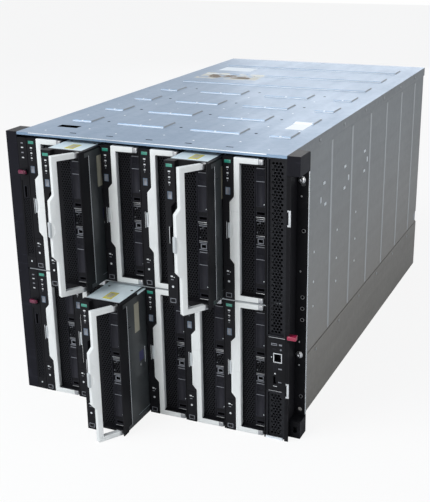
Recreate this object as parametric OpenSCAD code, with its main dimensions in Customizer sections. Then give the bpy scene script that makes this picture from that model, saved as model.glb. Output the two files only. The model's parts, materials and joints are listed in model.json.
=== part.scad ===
// Rack-mounted blade server chassis: a sheet-metal body with twelve half-height server
// blades in two rows, two slim appliance modules and the rear modules behind a midplane.
// Millimetres. Origin at the centre of the underside, front towards -Y, +Z up.

/* [Body] */
// Width of the sheet-metal body
body_w = 443; // [436:1:450]
// Height of the body to the flat of the top cover
body_h = 441; // [430:1:450]
// Depth of the body from the front plane to the back edge
body_d = 840; // [820:1:900]
// Thickness of the floor and wall sheets
sheet_t = 1.2; // [1:0.1:1.5]
// Thickness of the cover's side flanges and of the skirt plates
flange_t = 1; // [0.8:0.1:1.4]
// Height of the cover's side flanges
flange_h = 16.5; // [12:0.5:22]
// Height of the skirt plates along the foot of the sides
skirt_h = 100; // [80:1:110]
// Thickness of the base pan
floor_t = 1.5; // [1.2:0.1:2]
// Height of the bright front lip of the base pan
pan_lip_h = 4; // [3:0.5:6]
// Height of the folded front lip of the top cover
cover_lip_h = 4.2; // [3:0.1:5]
// How far the embossed pads stand above the top cover
pad_rise = 1.8; // [1:0.1:2.5]
// Length of an embossed pad, front to back
pad_l = 42; // [30:1:60]
// How far the pressed beads stand out of the side panels
bead_rise = 0.8; // [0.4:0.1:0.9]
// Width of a pressed bead in the side panels
bead_w = 8; // [6:0.5:12]

/* [Bays] */
// Width of the column that holds the slim appliance modules
appliance_col_w = 17; // [15:0.5:20]
// Width of the column that holds the side grilles and the port panel
grille_col_w = 30; // [28:0.5:34]
// Room between the top row of blades and the top of the cover
header_h = 8; // [7:0.5:12]
// Thickness of the shelf between the two rows
shelf_t = 1.5; // [1.2:0.1:2]
// Gap above and below a blade's front
face_gap = 0.6; // [0.4:0.1:0.8]
// Gap at each side of a blade's front
side_gap = 0.4; // [0.3:0.1:0.6]
// Thickness of the upright dividers between the bays
divider_t = 1.2; // [1:0.1:1.6]
// Gap between a blade's case and the divider beside it
case_gap = 0.7; // [0.5:0.1:1]
// Running gap under a case, and of every seated piece
seat_gap = 0.3; // [0.2:0.05:0.4]

/* [Blade] */
// Length of a blade from its front face to the back of its case
blade_d = 598; // [560:1:605]
// Depth of the moulded front frame
bezel_d = 14; // [13:0.5:18]
// Width of the black control strip at a blade's left
strip_w = 16; // [14:0.5:17]
// Depth of the recess that the handle lies in
recess_d = 9.9; // [9.5:0.1:10.5]
// Thickness of the frame's right wall
wall_t = 1.6; // [1.2:0.1:2]
// Width of a drive carrier's front
drive_w = 16.3; // [15:0.1:17]
// Height of a drive carrier's front
drive_h = 73; // [68:0.5:74]
// Height of the lower drive's foot above the blade's foot
drive_z = 13; // [12:0.5:16]
// How far the drive fronts stand out of the recess floor
drive_rise = 2.6; // [1.5:0.1:3]
// How far blade 2 stands pulled out of its bay
pull_2 = 58; // [0:1:120]
// How far blade 5 stands pulled out of its bay
pull_5 = 50; // [0:1:120]
// How far blade 9 stands pulled out of its bay
pull_9 = 83; // [0:1:120]

/* [Handle] */
// Width of the handle's upright lever
lever_w = 8.5; // [7:0.5:9]
// Thickness of the handle
lever_t = 8.4; // [7.5:0.1:8.8]
// Gap round the lever in its recess
lever_gap = 0.6; // [0.5:0.1:0.8]
// How far the grip swells to the left of the lever
grip_out = 7; // [5:0.5:8]
// Height of the grip's lower end
grip_z = 56; // [50:1:62]
// Height of the grip over its straight stretch and both tapers
grip_h = 101; // [90:1:110]
// Height of each of the grip's tapers
taper_h = 8; // [6:0.5:12]
// How far the thumb latch stands out of the grip
thumb_out = 3.2; // [2:0.2:3.4]
// Height of the thumb latch
thumb_h = 23; // [18:1:26]
// Width of the half-moon dish beside the thumb latch
dish_w = 5.5; // [4:0.5:6]
// Depth of the half-moon dish
dish_deep = 1.2; // [0.8:0.1:1.6]
// Height of each arm
arm_h = 8.2; // [7:0.2:8.6]
// Distance of the pivot from the bay's right edge
pivot_in = 8; // [7:0.5:9]
// Radius of the arm's round end
knuckle_r = 4.2; // [3.8:0.1:4.4]
// Radius of the pivot peg
peg_r = 1.8; // [1.4:0.1:2]
// Radial clearance between the pivot peg and its eye
peg_play = 0.15; // [0.1:0.05:0.2]
// Angle at which the handles of the pulled-out blades stand open
open_angle = 56; // [0:1:65]

/* [Ears] */
// How far each rack ear stands out beside the body
ear_w = 19.8; // [19:0.1:20]
// Distance of the ears' mounting face behind the front plane
ear_setback = 38; // [30:1:45]
// Thickness of the ear flanges
ear_t = 3; // [2:0.1:3.5]
// Length of the leg that fixes an ear to the side panel
ear_leg = 42; // [30:1:60]
// Width of the front edge strip of the right ear
edge_strip_w = 6; // [4:0.5:7]
// Distance of the rack holes from an ear's outer edge
rack_hole_in = 8.75; // [8:0.05:9.5]
// Height of the lowest rack hole
rack_hole_z = 37.3; // [30:0.1:45]
// Vertical distance between the rack holes, eight rack units
rack_hole_rise = 355.6; // [311.1:0.1:360]
// Radius of a rack hole
rack_hole_r = 3.6; // [3.2:0.1:4]
// Height of the cap on the right ear
cap_h = 28; // [20:1:35]
// Wall thickness of the moulded ear caps
cap_wall = 2; // [1.5:0.1:2.5]
// Height of the foot block of the right ear
foot_h = 28; // [20:1:30]

/* [Side column] */
// Height of the port panel's foot
panel_z = 80; // [70:1:90]
// Height of the port panel
panel_h = 88.5; // [80:0.5:95]
// Depth of the side grilles' frames
grille_d = 11.5; // [8:0.5:14]
// Width across the flats of a grille hole
hex_w = 3.9; // [3:0.1:4.4]
// Web between two grille holes
hex_web = 1.3; // [0.8:0.1:2]
// Inside width of the network socket
port_w = 10.6; // [10:0.1:11]
// Inside height of the network socket
port_h = 12.2; // [11.8:0.1:13]
// Depth of the network socket
port_deep = 12; // [10:0.5:14]

/* [Appliance modules] */
// Length of an appliance module
appliance_d = 560; // [400:1:600]
// Depth of an appliance module's front
appliance_face_d = 12; // [8:0.5:14]
// Height of a release lever above its module's foot
release_z = 158.5; // [120:0.5:170]
// Height of a release lever
release_h = 5.2; // [4:0.2:7]
// How far a release lever stands in front of its module
release_out = 8; // [6.5:0.5:10]

/* [Rear] */
// Thickness of the midplane board
board_t = 4.8; // [3:0.1:6]
// How far a blade's connectors stand out behind its case
plug_l = 5; // [4:0.5:8]
// Thickness of the walls between the rear modules
cell_wall = 2; // [1.5:0.1:2.5]
// Height of a fan module's cell
fan_cell_h = 84; // [76:1:88]
// Height of a power supply's cell
supply_cell_h = 86; // [76:1:90]
// Width of the middle column that holds the link modules
link_cell_w = 56; // [45:1:65]
// How far the rear modules' faces stand inside the body's back edge
rear_inset = 12; // [10:0.5:20]

/* [Hidden] */
COLUMNS = 6;
ROWS = 2;
BLADES = COLUMNS * ROWS;
function two(i) = i < 10 ? str("0", i) : str(i);
$fn = 48;
eps = 0.01;

// Body: the flanges and skirts lie outside the side panels, a seat gap away.
front = -body_d / 2;
half_w = body_w / 2;
wall_x1 = half_w - flange_t - seat_gap;
wall_x0 = wall_x1 - sheet_t;
cover_z0 = body_h - sheet_t;

// Bays: columns between the appliance column and the grille column, rows round the shelf.
pitch = (body_w - appliance_col_w - grille_col_w) / COLUMNS;
bays_x0 = -half_w + appliance_col_w;
bays_x1 = bays_x0 + COLUMNS * pitch;
face_h = (body_h - header_h - shelf_t - 2 * ROWS * face_gap) / ROWS;
shelf_z0 = face_h + 2 * face_gap;
shelf_z1 = shelf_z0 + shelf_t;
case_lift = floor_t + seat_gap - face_gap;
runner_h = case_lift + face_gap - seat_gap;
beam_l = 10;
beam_h = 6;
beam_q0 = bezel_d + 1.5;
divider_q0 = bezel_d + beam_l + 3;
divider_q1 = blade_d + plug_l;
function column(i) = (i - 1) % COLUMNS;
function upper(i) = i <= COLUMNS;
function face_z(is_upper) = is_upper ? shelf_z1 + face_gap : face_gap;
function pull(i) = i == 2 ? pull_2 : i == 5 ? pull_5 : i == 9 ? pull_9 : 0;
function opening(i) = pull(i) > 0 ? open_angle : 0;

// Blade: x from the bay's left edge, y from the front plane, z from the blade's foot.
case_x0 = divider_t / 2 + case_gap;
case_x1 = pitch - case_x0;
case_z1 = face_h - 1;
ledge_w = 6;
ledge_h = 3;
plug_w = 12;
plug_h = 50;
plug_zs = [0.22 * face_h, 0.62 * face_h];
lever_x0 = side_gap + strip_w + lever_gap;
lever_x1 = lever_x0 + lever_w;
field_x0 = lever_x1 + lever_gap;
field_x1 = pitch - side_gap - wall_t;
drive_x0 = field_x1 - drive_w - 0.3;
arm_room = arm_h + lever_gap / 2;
ledge_t = 1.4;
pivot_x = pitch - pivot_in;
pivot_y = 1 + knuckle_r;
thumb_z = grip_z + grip_h / 2;

// Side column and rear.
column_x0 = bays_x1 + side_gap;
column_x1 = half_w - 0.2;
face_q1 = bezel_d + 0.5;
ear_x1 = half_w + ear_w;
ear_z1 = body_h;
side_q0 = ear_setback + ear_t + 1;
rack_hole_zs = [rack_hole_z, rack_hole_z + rack_hole_rise];
board_q0 = blade_d + plug_l + seat_gap + 2.5;
rear_q0 = board_q0 + board_t;
rear_q1 = body_d - 2;
cell_z0 = floor_t;
cell_z1 = cover_z0;

// Shared shapes

// A box given by its two corners.
module block(lo, hi) {
    translate(lo) cube(hi - lo);
}

// Places its children at a distance behind the front plane.
module behind_front(q) {
    translate([0, front + q, 0]) children();
}

// A bar along X whose section is a trapezoid that narrows by `slope` on both sides.
module ridge_x(x0, x1, y0, y1, z0, rise, slope) {
    translate([x0, 0, 0]) rotate([90, 0, 90]) linear_extrude(x1 - x0)
        polygon([[y0, z0], [y1, z0], [y1 - slope, z0 + rise], [y0 + slope, z0 + rise]]);
}

// The same bar along Y.
module ridge_y(x0, x1, y0, y1, z0, rise, slope) {
    translate([0, y1, 0]) rotate([90, 0, 0]) linear_extrude(y1 - y0)
        polygon([[x0, z0], [x1, z0], [x1 - slope, z0 + rise], [x0 + slope, z0 + rise]]);
}

// An embossed pad with four sloping sides.
module pad(x0, x1, y0, y1, z0, rise, slope) {
    intersection() {
        ridge_x(x0, x1, y0, y1, z0, rise, slope);
        ridge_y(x0, x1, y0, y1, z0, rise, slope);
    }
}

// Mirrors a right-hand piece to the left, keeping the right one.
module both_sides() {
    children();
    mirror([1, 0, 0]) children();
}

// Places a blade's piece in its bay, as far out as the blade is pulled.
module in_bay(i) {
    translate([bays_x0 + column(i) * pitch, front - pull(i), face_z(upper(i))]) children();
}

// Body

// Floor sheet, with a tongue and a bright lip under the side column.
module base_pan() {
    color("gainsboro") behind_front(0) {
        block([-wall_x0, face_q1, 0], [wall_x0, rear_q1, floor_t]);
        block([column_x0, 0, 0], [wall_x0, face_q1 + 1, floor_t]);
        block([column_x0, 0, 0], [wall_x0, sheet_t, pan_lip_h]);
    }
}

// Left edge and width of each embossed pad in a row across the cover.
pad_spans = [[-184, 36], [-101, 83], [27, 83], [156, 35]];
pad_slope = 1.6;
pad_q1 = 100;
pad_pitch = 102;
pad_rows = 4;
ridge_pitch = 110;
ridge_q1 = pad_q1 + pad_rows * pad_pitch;
ridge_rows = floor((body_d - 10 - pad_l - ridge_q1) / ridge_pitch) + 1;
ridge_half = half_w - 34.5;

// The cover's embossed pads and full-width ridges, their feet at z0, drawn in by `inset`.
module cover_pads(z0, inset) {
    for (r = [0:pad_rows - 1], s = pad_spans) {
        y0 = pad_q1 + r * pad_pitch + inset;
        y1 = pad_q1 + r * pad_pitch + pad_l - inset;
        pad(s[0] + inset, s[0] + s[1] - inset, y0, y1, z0, pad_rise, pad_slope);
    }
    for (r = [0:ridge_rows - 1]) {
        y0 = ridge_q1 + r * ridge_pitch + inset;
        y1 = ridge_q1 + r * ridge_pitch + pad_l - inset;
        pad(inset - ridge_half, ridge_half - inset, y0, y1, z0, pad_rise, pad_slope);
    }
}

// Top sheet with a folded lip at the front and back, side flanges, a stiffening beam
// under its front and pads pressed up from below.
module top_cover() {
    color("lightsteelblue") behind_front(0) difference() {
        union() {
            block([-half_w, 0, cover_z0], [half_w, body_d, body_h]);
            cover_pads(body_h - eps, 0);
            block([-half_w, 0, body_h - cover_lip_h], [half_w, sheet_t, body_h]);
            block([-half_w, body_d - sheet_t, body_h - cover_lip_h], [half_w, body_d, body_h]);
            both_sides()
                block([half_w - flange_t, side_q0, body_h - flange_h], [half_w, body_d, body_h]);
            block([-wall_x0 + 1, beam_q0, cover_z0 - beam_h],
                  [wall_x0 - 1, beam_q0 + beam_l, body_h]);
        }
        cover_pads(cover_z0 - eps, sheet_t / 2);
    }
}

bead_q1 = 202;
bead_pitch = 111;
bead_count = floor((rear_q1 - bead_q1 - bead_w) / bead_pitch) + 1;
bead_z0 = skirt_h + 3;
bead_z1 = body_h - flange_h - 5;
notch_l = 24;
notch_h = 22;

// The right side panel: a sheet with pressed beads and a notch in its back edge.
module side_panel() {
    difference() {
        union() {
            block([wall_x0, face_q1, 0], [wall_x1, rear_q1, cover_z0]);
            for (k = [0:bead_count - 1])
                translate([wall_x1 - eps, bead_q1 + k * bead_pitch, bead_z0])
                    linear_extrude(bead_z1 - bead_z0)
                        polygon([[0, 0], [bead_rise, bead_rise],
                                 [bead_rise, bead_w - bead_rise], [0, bead_w]]);
        }
        translate([wall_x0 - 1, rear_q1, skirt_h + 2]) rotate([90, 0, 90])
            linear_extrude(sheet_t + 2)
                polygon([[1, 0], [1, notch_h], [-notch_l, notch_h - 3], [-notch_l + 6, 5]]);
    }
}

module side_panel_right() {
    color("slategray") behind_front(0) side_panel();
}

module side_panel_left() {
    color("slategray") behind_front(0) mirror([1, 0, 0]) side_panel();
}

// The two skirt plates along the foot of the sides.
module skirt_plates() {
    color("gray") behind_front(0) both_sides()
        block([wall_x1 + seat_gap, side_q0, 0], [half_w, rear_q1, skirt_h]);
}

runner_w = 6;

// Middles of the runners: one under the appliance module and two under each blade.
runner_xs = concat([bays_x0 - appliance_col_w / 2],
    [for (c = [0:COLUMNS - 1], part = [0.2, 0.8]) bays_x0 + (c + part) * pitch]);

// Shelf between the rows, with raised runners under the modules of the upper row.
module bay_shelf() {
    color("dimgray") behind_front(0) {
        translate([0, 0, shelf_z0]) linear_extrude(shelf_t)
            polygon([[-wall_x0, 1], [bays_x1 - side_gap, 1], [bays_x1 - side_gap, face_q1],
                     [wall_x0, face_q1], [wall_x0, divider_q1], [-wall_x0, divider_q1]]);
        for (x = runner_xs)
            block([x - runner_w / 2, face_q1 + 4, shelf_z1 - eps],
                  [x + runner_w / 2, divider_q1 - 4, shelf_z1 + runner_h]);
    }
}

// Upright sheets between the bays, one set under the shelf and one above it.
module bay_dividers() {
    color("silver") behind_front(0)
        for (c = [0:COLUMNS], span = [[floor_t, shelf_z0], [shelf_z1, cover_z0]])
            translate([bays_x0 + c * pitch, 0, 0])
                block([-divider_t / 2, divider_q0, span[0]],
                      [divider_t / 2, divider_q1, span[1]]);
}

board_edge = 4;

// Board across the bays with a socket for each connector of the blades.
module midplane_board() {
    color("darkgreen") behind_front(0) {
        block([-wall_x0 + board_edge, board_q0, cell_z0 + board_edge],
              [wall_x0 - board_edge, rear_q0, cell_z1 - board_edge]);
        for (i = [1:BLADES], z = plug_zs)
            translate([bays_x0 + (column(i) + 0.5) * pitch, 0, face_z(upper(i)) + z])
                block([-plug_w / 2, divider_q1 + seat_gap, 0],
                      [plug_w / 2, board_q0 + eps, plug_h]);
    }
}

// Rear

IO_ROWS = 3;
FANS = 5;
SUPPLIES = 6;
inner_w = 2 * wall_x0;
low_fan_z0 = cell_z0 + supply_cell_h + 2 * cell_wall;
high_fan_z0 = cell_z1 - cell_wall - fan_cell_h;
io_z0 = low_fan_z0 + fan_cell_h + cell_wall;
io_h = high_fan_z0 - cell_wall - io_z0;
io_cell_h = (io_h - (IO_ROWS - 1) * cell_wall) / IO_ROWS;
link_cell_h = (io_h - cell_wall) / 2;
io_cell_w = (inner_w - 4 * cell_wall - link_cell_w) / 2;
fan_cell_w = (inner_w - (FANS + 1) * cell_wall) / FANS;
supply_cell_w = (inner_w - (SUPPLIES + 1) * cell_wall) / SUPPLIES;
module_q1 = body_d - rear_inset;

// Left edge of cell k in a row of cells of width w.
function cell_x(k, w) = -wall_x0 + cell_wall + k * (w + cell_wall);

// Lower left corners of the cells of each kind.
supply_cells = [for (k = [0:SUPPLIES - 1]) [cell_x(k, supply_cell_w), cell_z0 + cell_wall]];
fan_cells = [for (z = [low_fan_z0, high_fan_z0], k = [0:FANS - 1]) [cell_x(k, fan_cell_w), z]];
io_cells = [for (r = [0:IO_ROWS - 1], x = [-wall_x0 + cell_wall, link_cell_w / 2 + cell_wall])
    [x, io_z0 + r * (io_cell_h + cell_wall)]];
link_cells = [for (r = [0, 1]) [-link_cell_w / 2, io_z0 + r * (link_cell_h + cell_wall)]];

module cell_cuts(cells, w, h) {
    for (c = cells) translate(c) square([w, h]);
}

// Honeycomb of walls that holds the rear modules.
module rear_frame() {
    color("silver") behind_front(rear_q1) rotate([90, 0, 0])
        linear_extrude(rear_q1 - rear_q0) difference() {
            translate([-wall_x0, cell_z0]) square([inner_w, cell_z1 - cell_z0]);
            cell_cuts(supply_cells, supply_cell_w, supply_cell_h);
            cell_cuts(fan_cells, fan_cell_w, fan_cell_h);
            cell_cuts(io_cells, io_cell_w, io_cell_h);
            cell_cuts(link_cells, link_cell_w, link_cell_h);
        }
}

// Body of a rear module: it stands on its cell's floor with a seat gap.
module rear_body(cell, w, h) {
    translate([cell[0], 0, cell[1]])
        block([0.6, rear_q0 + 6, seat_gap], [w - 0.6, module_q1, h - 0.8]);
}

pull_bar = 3;
pull_t = 6;

// A pull lip that stands out of a rear face.
module rear_pull(x, z, h) {
    reach = rear_inset - 3;
    translate([x, module_q1 - eps, z]) rotate([90, 0, 90]) linear_extrude(pull_t)
        polygon([[0, 0], [reach, pull_bar], [reach, h - pull_bar], [0, h]]);
}

CAGES = 8;
cage_w = 14;
cage_h = 11;
cage_pitch = 17;

// A row of port cages closed by dust plugs.
module cages(x, z, count) {
    for (k = [0:count - 1])
        translate([x + k * cage_pitch, module_q1 - eps, z]) cube([cage_w, 2, cage_h]);
}

// Six interconnect modules and the two narrow link modules between them.
module interconnect_modules() {
    color("silver") behind_front(0) {
        for (c = io_cells) {
            rear_body(c, io_cell_w, io_cell_h);
            cages(c[0] + 24, c[1] + 12, CAGES);
            cages(c[0] + 24, c[1] + 14 + cage_pitch, CAGES);
            rear_pull(c[0] + 8, c[1] + 10, io_cell_h - 20);
        }
        for (c = link_cells) {
            rear_body(c, link_cell_w, link_cell_h);
            cages(c[0] + 10, c[1] + 14, 1);
            cages(c[0] + 10, c[1] + 14 + cage_pitch, 1);
            rear_pull(c[0] + link_cell_w - 16, c[1] + 14, link_cell_h - 28);
        }
    }
}

guard_r = 34;
guard_deep = 10;
guard_wire = 1.6;
hub_r = 13;

// Puts a shape on a fan's mouth, its foot at the bottom of the recess and +Z outwards.
module fan_mouth(cell) {
    translate([cell[0] + fan_cell_w / 2, module_q1 - guard_deep, cell[1] + fan_cell_h / 2])
        rotate([-90, 0, 0]) children();
}

// Fan modules: a housing whose round mouth has a hub and a guard of rings on a cross.
module fan_modules() {
    color("dimgray") behind_front(0)
        for (c = fan_cells) {
            difference() {
                rear_body(c, fan_cell_w, fan_cell_h);
                fan_mouth(c) cylinder(r = guard_r, h = guard_deep + 1);
            }
            fan_mouth(c) {
                translate([0, 0, -eps]) cylinder(r = hub_r, h = guard_deep);
                for (a = [45, 135]) rotate([0, 0, a])
                    translate([-guard_r - 1, -guard_wire, guard_deep - 3])
                        cube([2 * guard_r + 2, 2 * guard_wire, 2]);
                for (r = [19, 26]) translate([0, 0, guard_deep - 3])
                    difference() {
                        cylinder(r = r + guard_wire, h = 2);
                        translate([0, 0, -1]) cylinder(r = r, h = 4);
                    }
            }
        }
}

inlet_w = 24;
inlet_h = 20;
inlet_deep = 16;
inlet_x = 9;
inlet_z = 14;

// Power supplies, each with a mains inlet and a pull.
module power_supplies() {
    color("gray") behind_front(0)
        for (c = supply_cells) {
            difference() {
                rear_body(c, supply_cell_w, supply_cell_h);
                translate([c[0] + inlet_x, module_q1 - inlet_deep, c[1] + inlet_z])
                    cube([inlet_w, inlet_deep + 1, inlet_h]);
            }
            rear_pull(c[0] + supply_cell_w - 16, c[1] + 12, supply_cell_h - 24);
        }
}

// Ears

// Flange, web and leg of the right ear.
module ear() {
    difference() {
        union() {
            block([wall_x1, face_q1, 0], [wall_x1 + flange_t, ear_setback + 1, ear_z1 - cover_lip_h]);
            block([wall_x1, ear_setback, 0], [ear_x1, side_q0 - 1, cover_z0 - seat_gap]);
            block([wall_x1, ear_setback, skirt_h + 1],
                  [wall_x1 + flange_t, side_q0 + ear_leg, body_h - flange_h - 1]);
        }
        for (z = rack_hole_zs)
            translate([ear_x1 - rack_hole_in, ear_setback - 1, z]) rotate([-90, 0, 0])
                cylinder(r = rack_hole_r, h = ear_t + 2);
    }
}

foot_setback = 15;
strip_x0 = column_x1 + 0.3;
strip_x1 = column_x1 + edge_strip_w;
strip_z1 = ear_z1 - cap_h - seat_gap;

// The right ear adds the front edge strip with its return and the foot block.
module rack_ear_right() {
    color("black") behind_front(0) {
        ear();
        difference() {
            union() {
                block([strip_x0, 0, 0], [strip_x1, 2, strip_z1]);
                block([strip_x0, 1, 0], [strip_x0 + 1.5, ear_setback + 1, strip_z1]);
            }
            block([latch_x0 - seat_gap, -1, latch_z0 - latch_travel - 0.6],
                  [strip_x1 + 1, 3, latch_z0 + latch_h + 0.6]);
        }
        difference() {
            block([strip_x0, foot_setback, 0], [ear_x1, ear_setback + 1, foot_h]);
            block([ear_x1 - 11, foot_setback - 1, 9], [ear_x1 - 5, foot_setback + 8, 19]);
        }
    }
}

module rack_ear_left() {
    color("black") behind_front(0) mirror([1, 0, 0]) ear();
}

// A moulded cap in front of an ear, open at the back.
module ear_cap(z0, z1) {
    x0 = half_w + 0.2;
    difference() {
        block([x0, 0, z0], [ear_x1, ear_setback, z1]);
        block([x0 + cap_wall, cap_wall, z0 + cap_wall],
              [ear_x1 - cap_wall, ear_setback + 1, z1 - cap_wall]);
    }
}

module ear_cap_right() {
    color("black") behind_front(0) ear_cap(ear_z1 - cap_h, ear_z1);
}

module ear_cap_left() {
    color("black") behind_front(0) mirror([1, 0, 0]) ear_cap(0.5, ear_z1);
}

// Side column

grille_wall = 2.4;
grille_t = 1.5;
grille_q0 = sheet_t + seat_gap;
grille_q1 = grille_q0 + grille_d;
hex_pitch = hex_w + hex_web;
hex_rise = hex_pitch * sqrt(3) / 2;
grille_w = column_x1 - column_x0;
mesh_w = grille_w - 2 * grille_wall - 3;

// Hexagonal holes in a field mesh_w wide and h high, its lower left corner at the origin.
module mesh_holes(h) {
    across = floor((mesh_w - hex_w) / hex_pitch - 0.5);
    rows = floor((h - hex_w) / hex_rise);
    dx = (mesh_w - (across + 0.5) * hex_pitch - hex_w) / 2;
    for (j = [0:rows], i = [0:across])
        translate([dx + hex_w / 2 + (i + (j % 2) / 2) * hex_pitch, hex_w / 2 + j * hex_rise + 1])
            rotate([0, 0, 30]) circle(d = hex_w / cos(30), $fn = 6);
}

// One grille: a framed tray whose floor is a honeycomb.
module side_grille(z0, z1) {
    translate([column_x0, grille_q0, z0]) {
        difference() {
            cube([grille_w, grille_d, z1 - z0]);
            translate([grille_wall, -1, grille_wall])
                cube([grille_w - 2 * grille_wall, grille_d + 2, z1 - z0 - 2 * grille_wall]);
        }
        translate([0, 4 + grille_t, 0]) rotate([90, 0, 0]) linear_extrude(grille_t)
            difference() {
                translate([1, 1]) square([grille_w - 2, z1 - z0 - 2]);
                translate([grille_wall + 1.5, grille_wall + 1])
                    mesh_holes(z1 - z0 - 2 * grille_wall - 4);
            }
    }
}

module side_grilles() {
    color("black") behind_front(0) {
        side_grille(floor_t + seat_gap, panel_z);
        side_grille(panel_z + panel_h + 2 * seat_gap, body_h - cover_lip_h - seat_gap);
    }
}

panel_deep = 44;
port_in = 12.5;
port_x = column_x0 + port_in;
port_rise = 49.5;
port_z = panel_z + port_rise;
usb_w = 5;
usb_h = 12.6;
usb_in = 11;
usb_x = column_x0 + usb_in;
usb_rise = 12.5;
usb_z = panel_z + usb_rise;
usb_deep = 10;

// Panel with the network socket and a service socket, on a slim electronics box.
module port_panel() {
    color("black") behind_front(0) difference() {
        union() {
            block([column_x0, grille_q0, panel_z + seat_gap],
                  [column_x1, grille_q0 + 3, panel_z + seat_gap + panel_h]);
            block([column_x0 + 3, grille_q0 + 2, panel_z + 4],
                  [wall_x0 - 1.5, panel_deep, panel_z + panel_h - 4]);
        }
        translate([port_x, grille_q0 - 1, port_z]) cube([port_w, port_deep + 1, port_h]);
        translate([usb_x, grille_q0 - 1, usb_z]) cube([usb_w, usb_deep + 1, usb_h]);
    }
}

latch_x0 = column_x1 + 3;
latch_x1 = ear_x1 - 3.2;
latch_h = 6;
latch_z0 = panel_z + panel_h - 0.5;
latch_travel = 4;

// Sprung release tab of the port panel: it runs down behind the right ear's edge strip.
module port_panel_latch() {
    color("crimson") behind_front(0) {
        block([latch_x0, -1, latch_z0], [latch_x1, 6, latch_z0 + latch_h]);
        block([strip_x0 + 1.5 + seat_gap, 2 + seat_gap, latch_z0],
              [latch_x1, 10, latch_z0 + latch_h]);
    }
}

// Appliance modules

slim_x0 = -half_w + 0.2;
slim_x1 = bays_x0 - side_gap;
lever_pin_x = slim_x1 - 4;
lever_pin_q = -release_out / 2;
lever_pin_r = 1.1;
lever_eye_r = 2.4;
lug_t = 1.6;

// A slim module: front, case and the two lugs that hold its release lever.
module appliance(z0) {
    translate([0, 0, z0]) difference() {
        union() {
            block([slim_x0, 0, 0], [slim_x1, appliance_face_d, face_h]);
            block([-wall_x0 + 0.6, appliance_face_d - 1, case_lift],
                  [bays_x0 - divider_t / 2 - case_gap, appliance_d, face_h - 1]);
            for (z = [release_z - lug_t - seat_gap, release_z + release_h + seat_gap]) {
                block([lever_pin_x - lever_eye_r, lever_pin_q, z],
                      [lever_pin_x + lever_eye_r, eps, z + lug_t]);
                translate([lever_pin_x, lever_pin_q, z]) cylinder(r = lever_eye_r, h = lug_t);
            }
            translate([lever_pin_x, lever_pin_q, release_z - lug_t - seat_gap])
                cylinder(r = lever_pin_r, h = release_h + 2 * (lug_t + seat_gap));
        }
        block([slim_x0 + 2, -1, 20], [slim_x1 - 2, 1, release_z - 12]);
    }
}

// Release lever: a tapered tab on an eye round the lugs' pin.
module release_lever(z0) {
    tip = lever_pin_x - slim_x0;
    translate([lever_pin_x, lever_pin_q, z0 + release_z]) linear_extrude(release_h)
        difference() {
            union() {
                circle(r = lever_eye_r);
                polygon([[0, lever_eye_r], [-tip, 3], [-tip, 3 - release_out / 2],
                         [-tip + 3, -release_out / 2], [0, -lever_eye_r]]);
            }
            circle(r = lever_pin_r + peg_play);
        }
}

module appliance_upper() {
    color("black") behind_front(0) appliance(face_z(true));
}

module appliance_lower() {
    color("black") behind_front(0) appliance(face_z(false));
}

module appliance_upper_lever() {
    color("crimson") behind_front(0) release_lever(face_z(true));
}

module appliance_lower_lever() {
    color("crimson") behind_front(0) release_lever(face_z(false));
}

// Screws

screw_r = 4;
screw_h = 2.6;
ear_screw_in = 9;
ear_screw_rise = 29;
ear_screw_drop = 42;
small_screw_q1 = bead_q1 - 60;
small_screw_pitch = 122.1;
small_screw_count = floor((rear_q1 - 10 - small_screw_q1) / small_screw_pitch) + 1;

// Screws in the right ear's flange and along the skirt plates and the cover's flanges.
module body_screws() {
    color("silver") behind_front(0) {
        for (z = [skirt_h + ear_screw_rise, ear_z1 - ear_screw_drop])
            translate([half_w + ear_screw_in, ear_setback - screw_h, z]) rotate([-90, 0, 0])
                cylinder(r = screw_r, h = screw_h);
        for (k = [0:small_screw_count - 1], z = [skirt_h - 9, body_h - flange_h / 2])
            both_sides()
                translate([half_w, small_screw_q1 + k * small_screw_pitch, z])
                    rotate([0, 90, 0]) cylinder(r = 2.6, h = 1);
    }
}

// Blade

// Closed sheet-metal case with a stepped right shoulder and two rear connectors.
module blade_case(i) {
    color("lightgray") in_bay(i) {
        difference() {
            block([case_x0, bezel_d, case_lift], [case_x1, blade_d, case_z1]);
            block([case_x1 - ledge_w, bezel_d - 1, case_z1 - ledge_h],
                  [case_x1 + 1, blade_d + 1, case_z1 + 1]);
            for (x = [case_x0 - 1, case_x1 - 0.6])
                block([x, bezel_d + 34, 12], [x + 1.6, blade_d - 40, case_z1 - 14]);
        }
        for (z = plug_zs)
            block([pitch / 2 - plug_w / 2, blade_d - eps, z],
                  [pitch / 2 + plug_w / 2, blade_d + plug_l, z + plug_h]);
    }
}

// Left outline of lever and grip from foot to head, moved outwards by `grow`.
function grip_line(grow) = [
    [lever_x0 - grow, grip_z - grow / 2],
    [lever_x0 - grip_out - grow, grip_z + taper_h - grow / 2],
    [lever_x0 - grip_out - grow, grip_z + grip_h - taper_h + grow / 2],
    [lever_x0 - grow, grip_z + grip_h + grow / 2]];

// Front outline of the thumb latch, a bar beside the grip, moved outwards by `grow`.
module thumb_shape(grow) {
    x0 = lever_x0 - grip_out - thumb_out - grow;
    x1 = lever_x0 - grip_out + 1;
    half = thumb_h / 2 + grow;
    translate([0, thumb_z])
        polygon([[x1, -half], [x0 + thumb_out / 2, -half], [x0, thumb_out / 2 - half],
                 [x0, half - thumb_out / 2], [x0 + thumb_out / 2, half], [x1, half]]);
}

// Half-moon dish for the thumb, a segment of a circle beside the latch's bar.
module dish_shape() {
    half = thumb_h / 2;
    r = (half * half + dish_w * dish_w) / (2 * dish_w);
    intersection() {
        translate([lever_x0 - grip_out + dish_w - r, thumb_z]) circle(r = r, $fn = 96);
        translate([lever_x0 - grip_out, thumb_z - thumb_h]) square([dish_w + 1, 2 * thumb_h]);
    }
}

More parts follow.
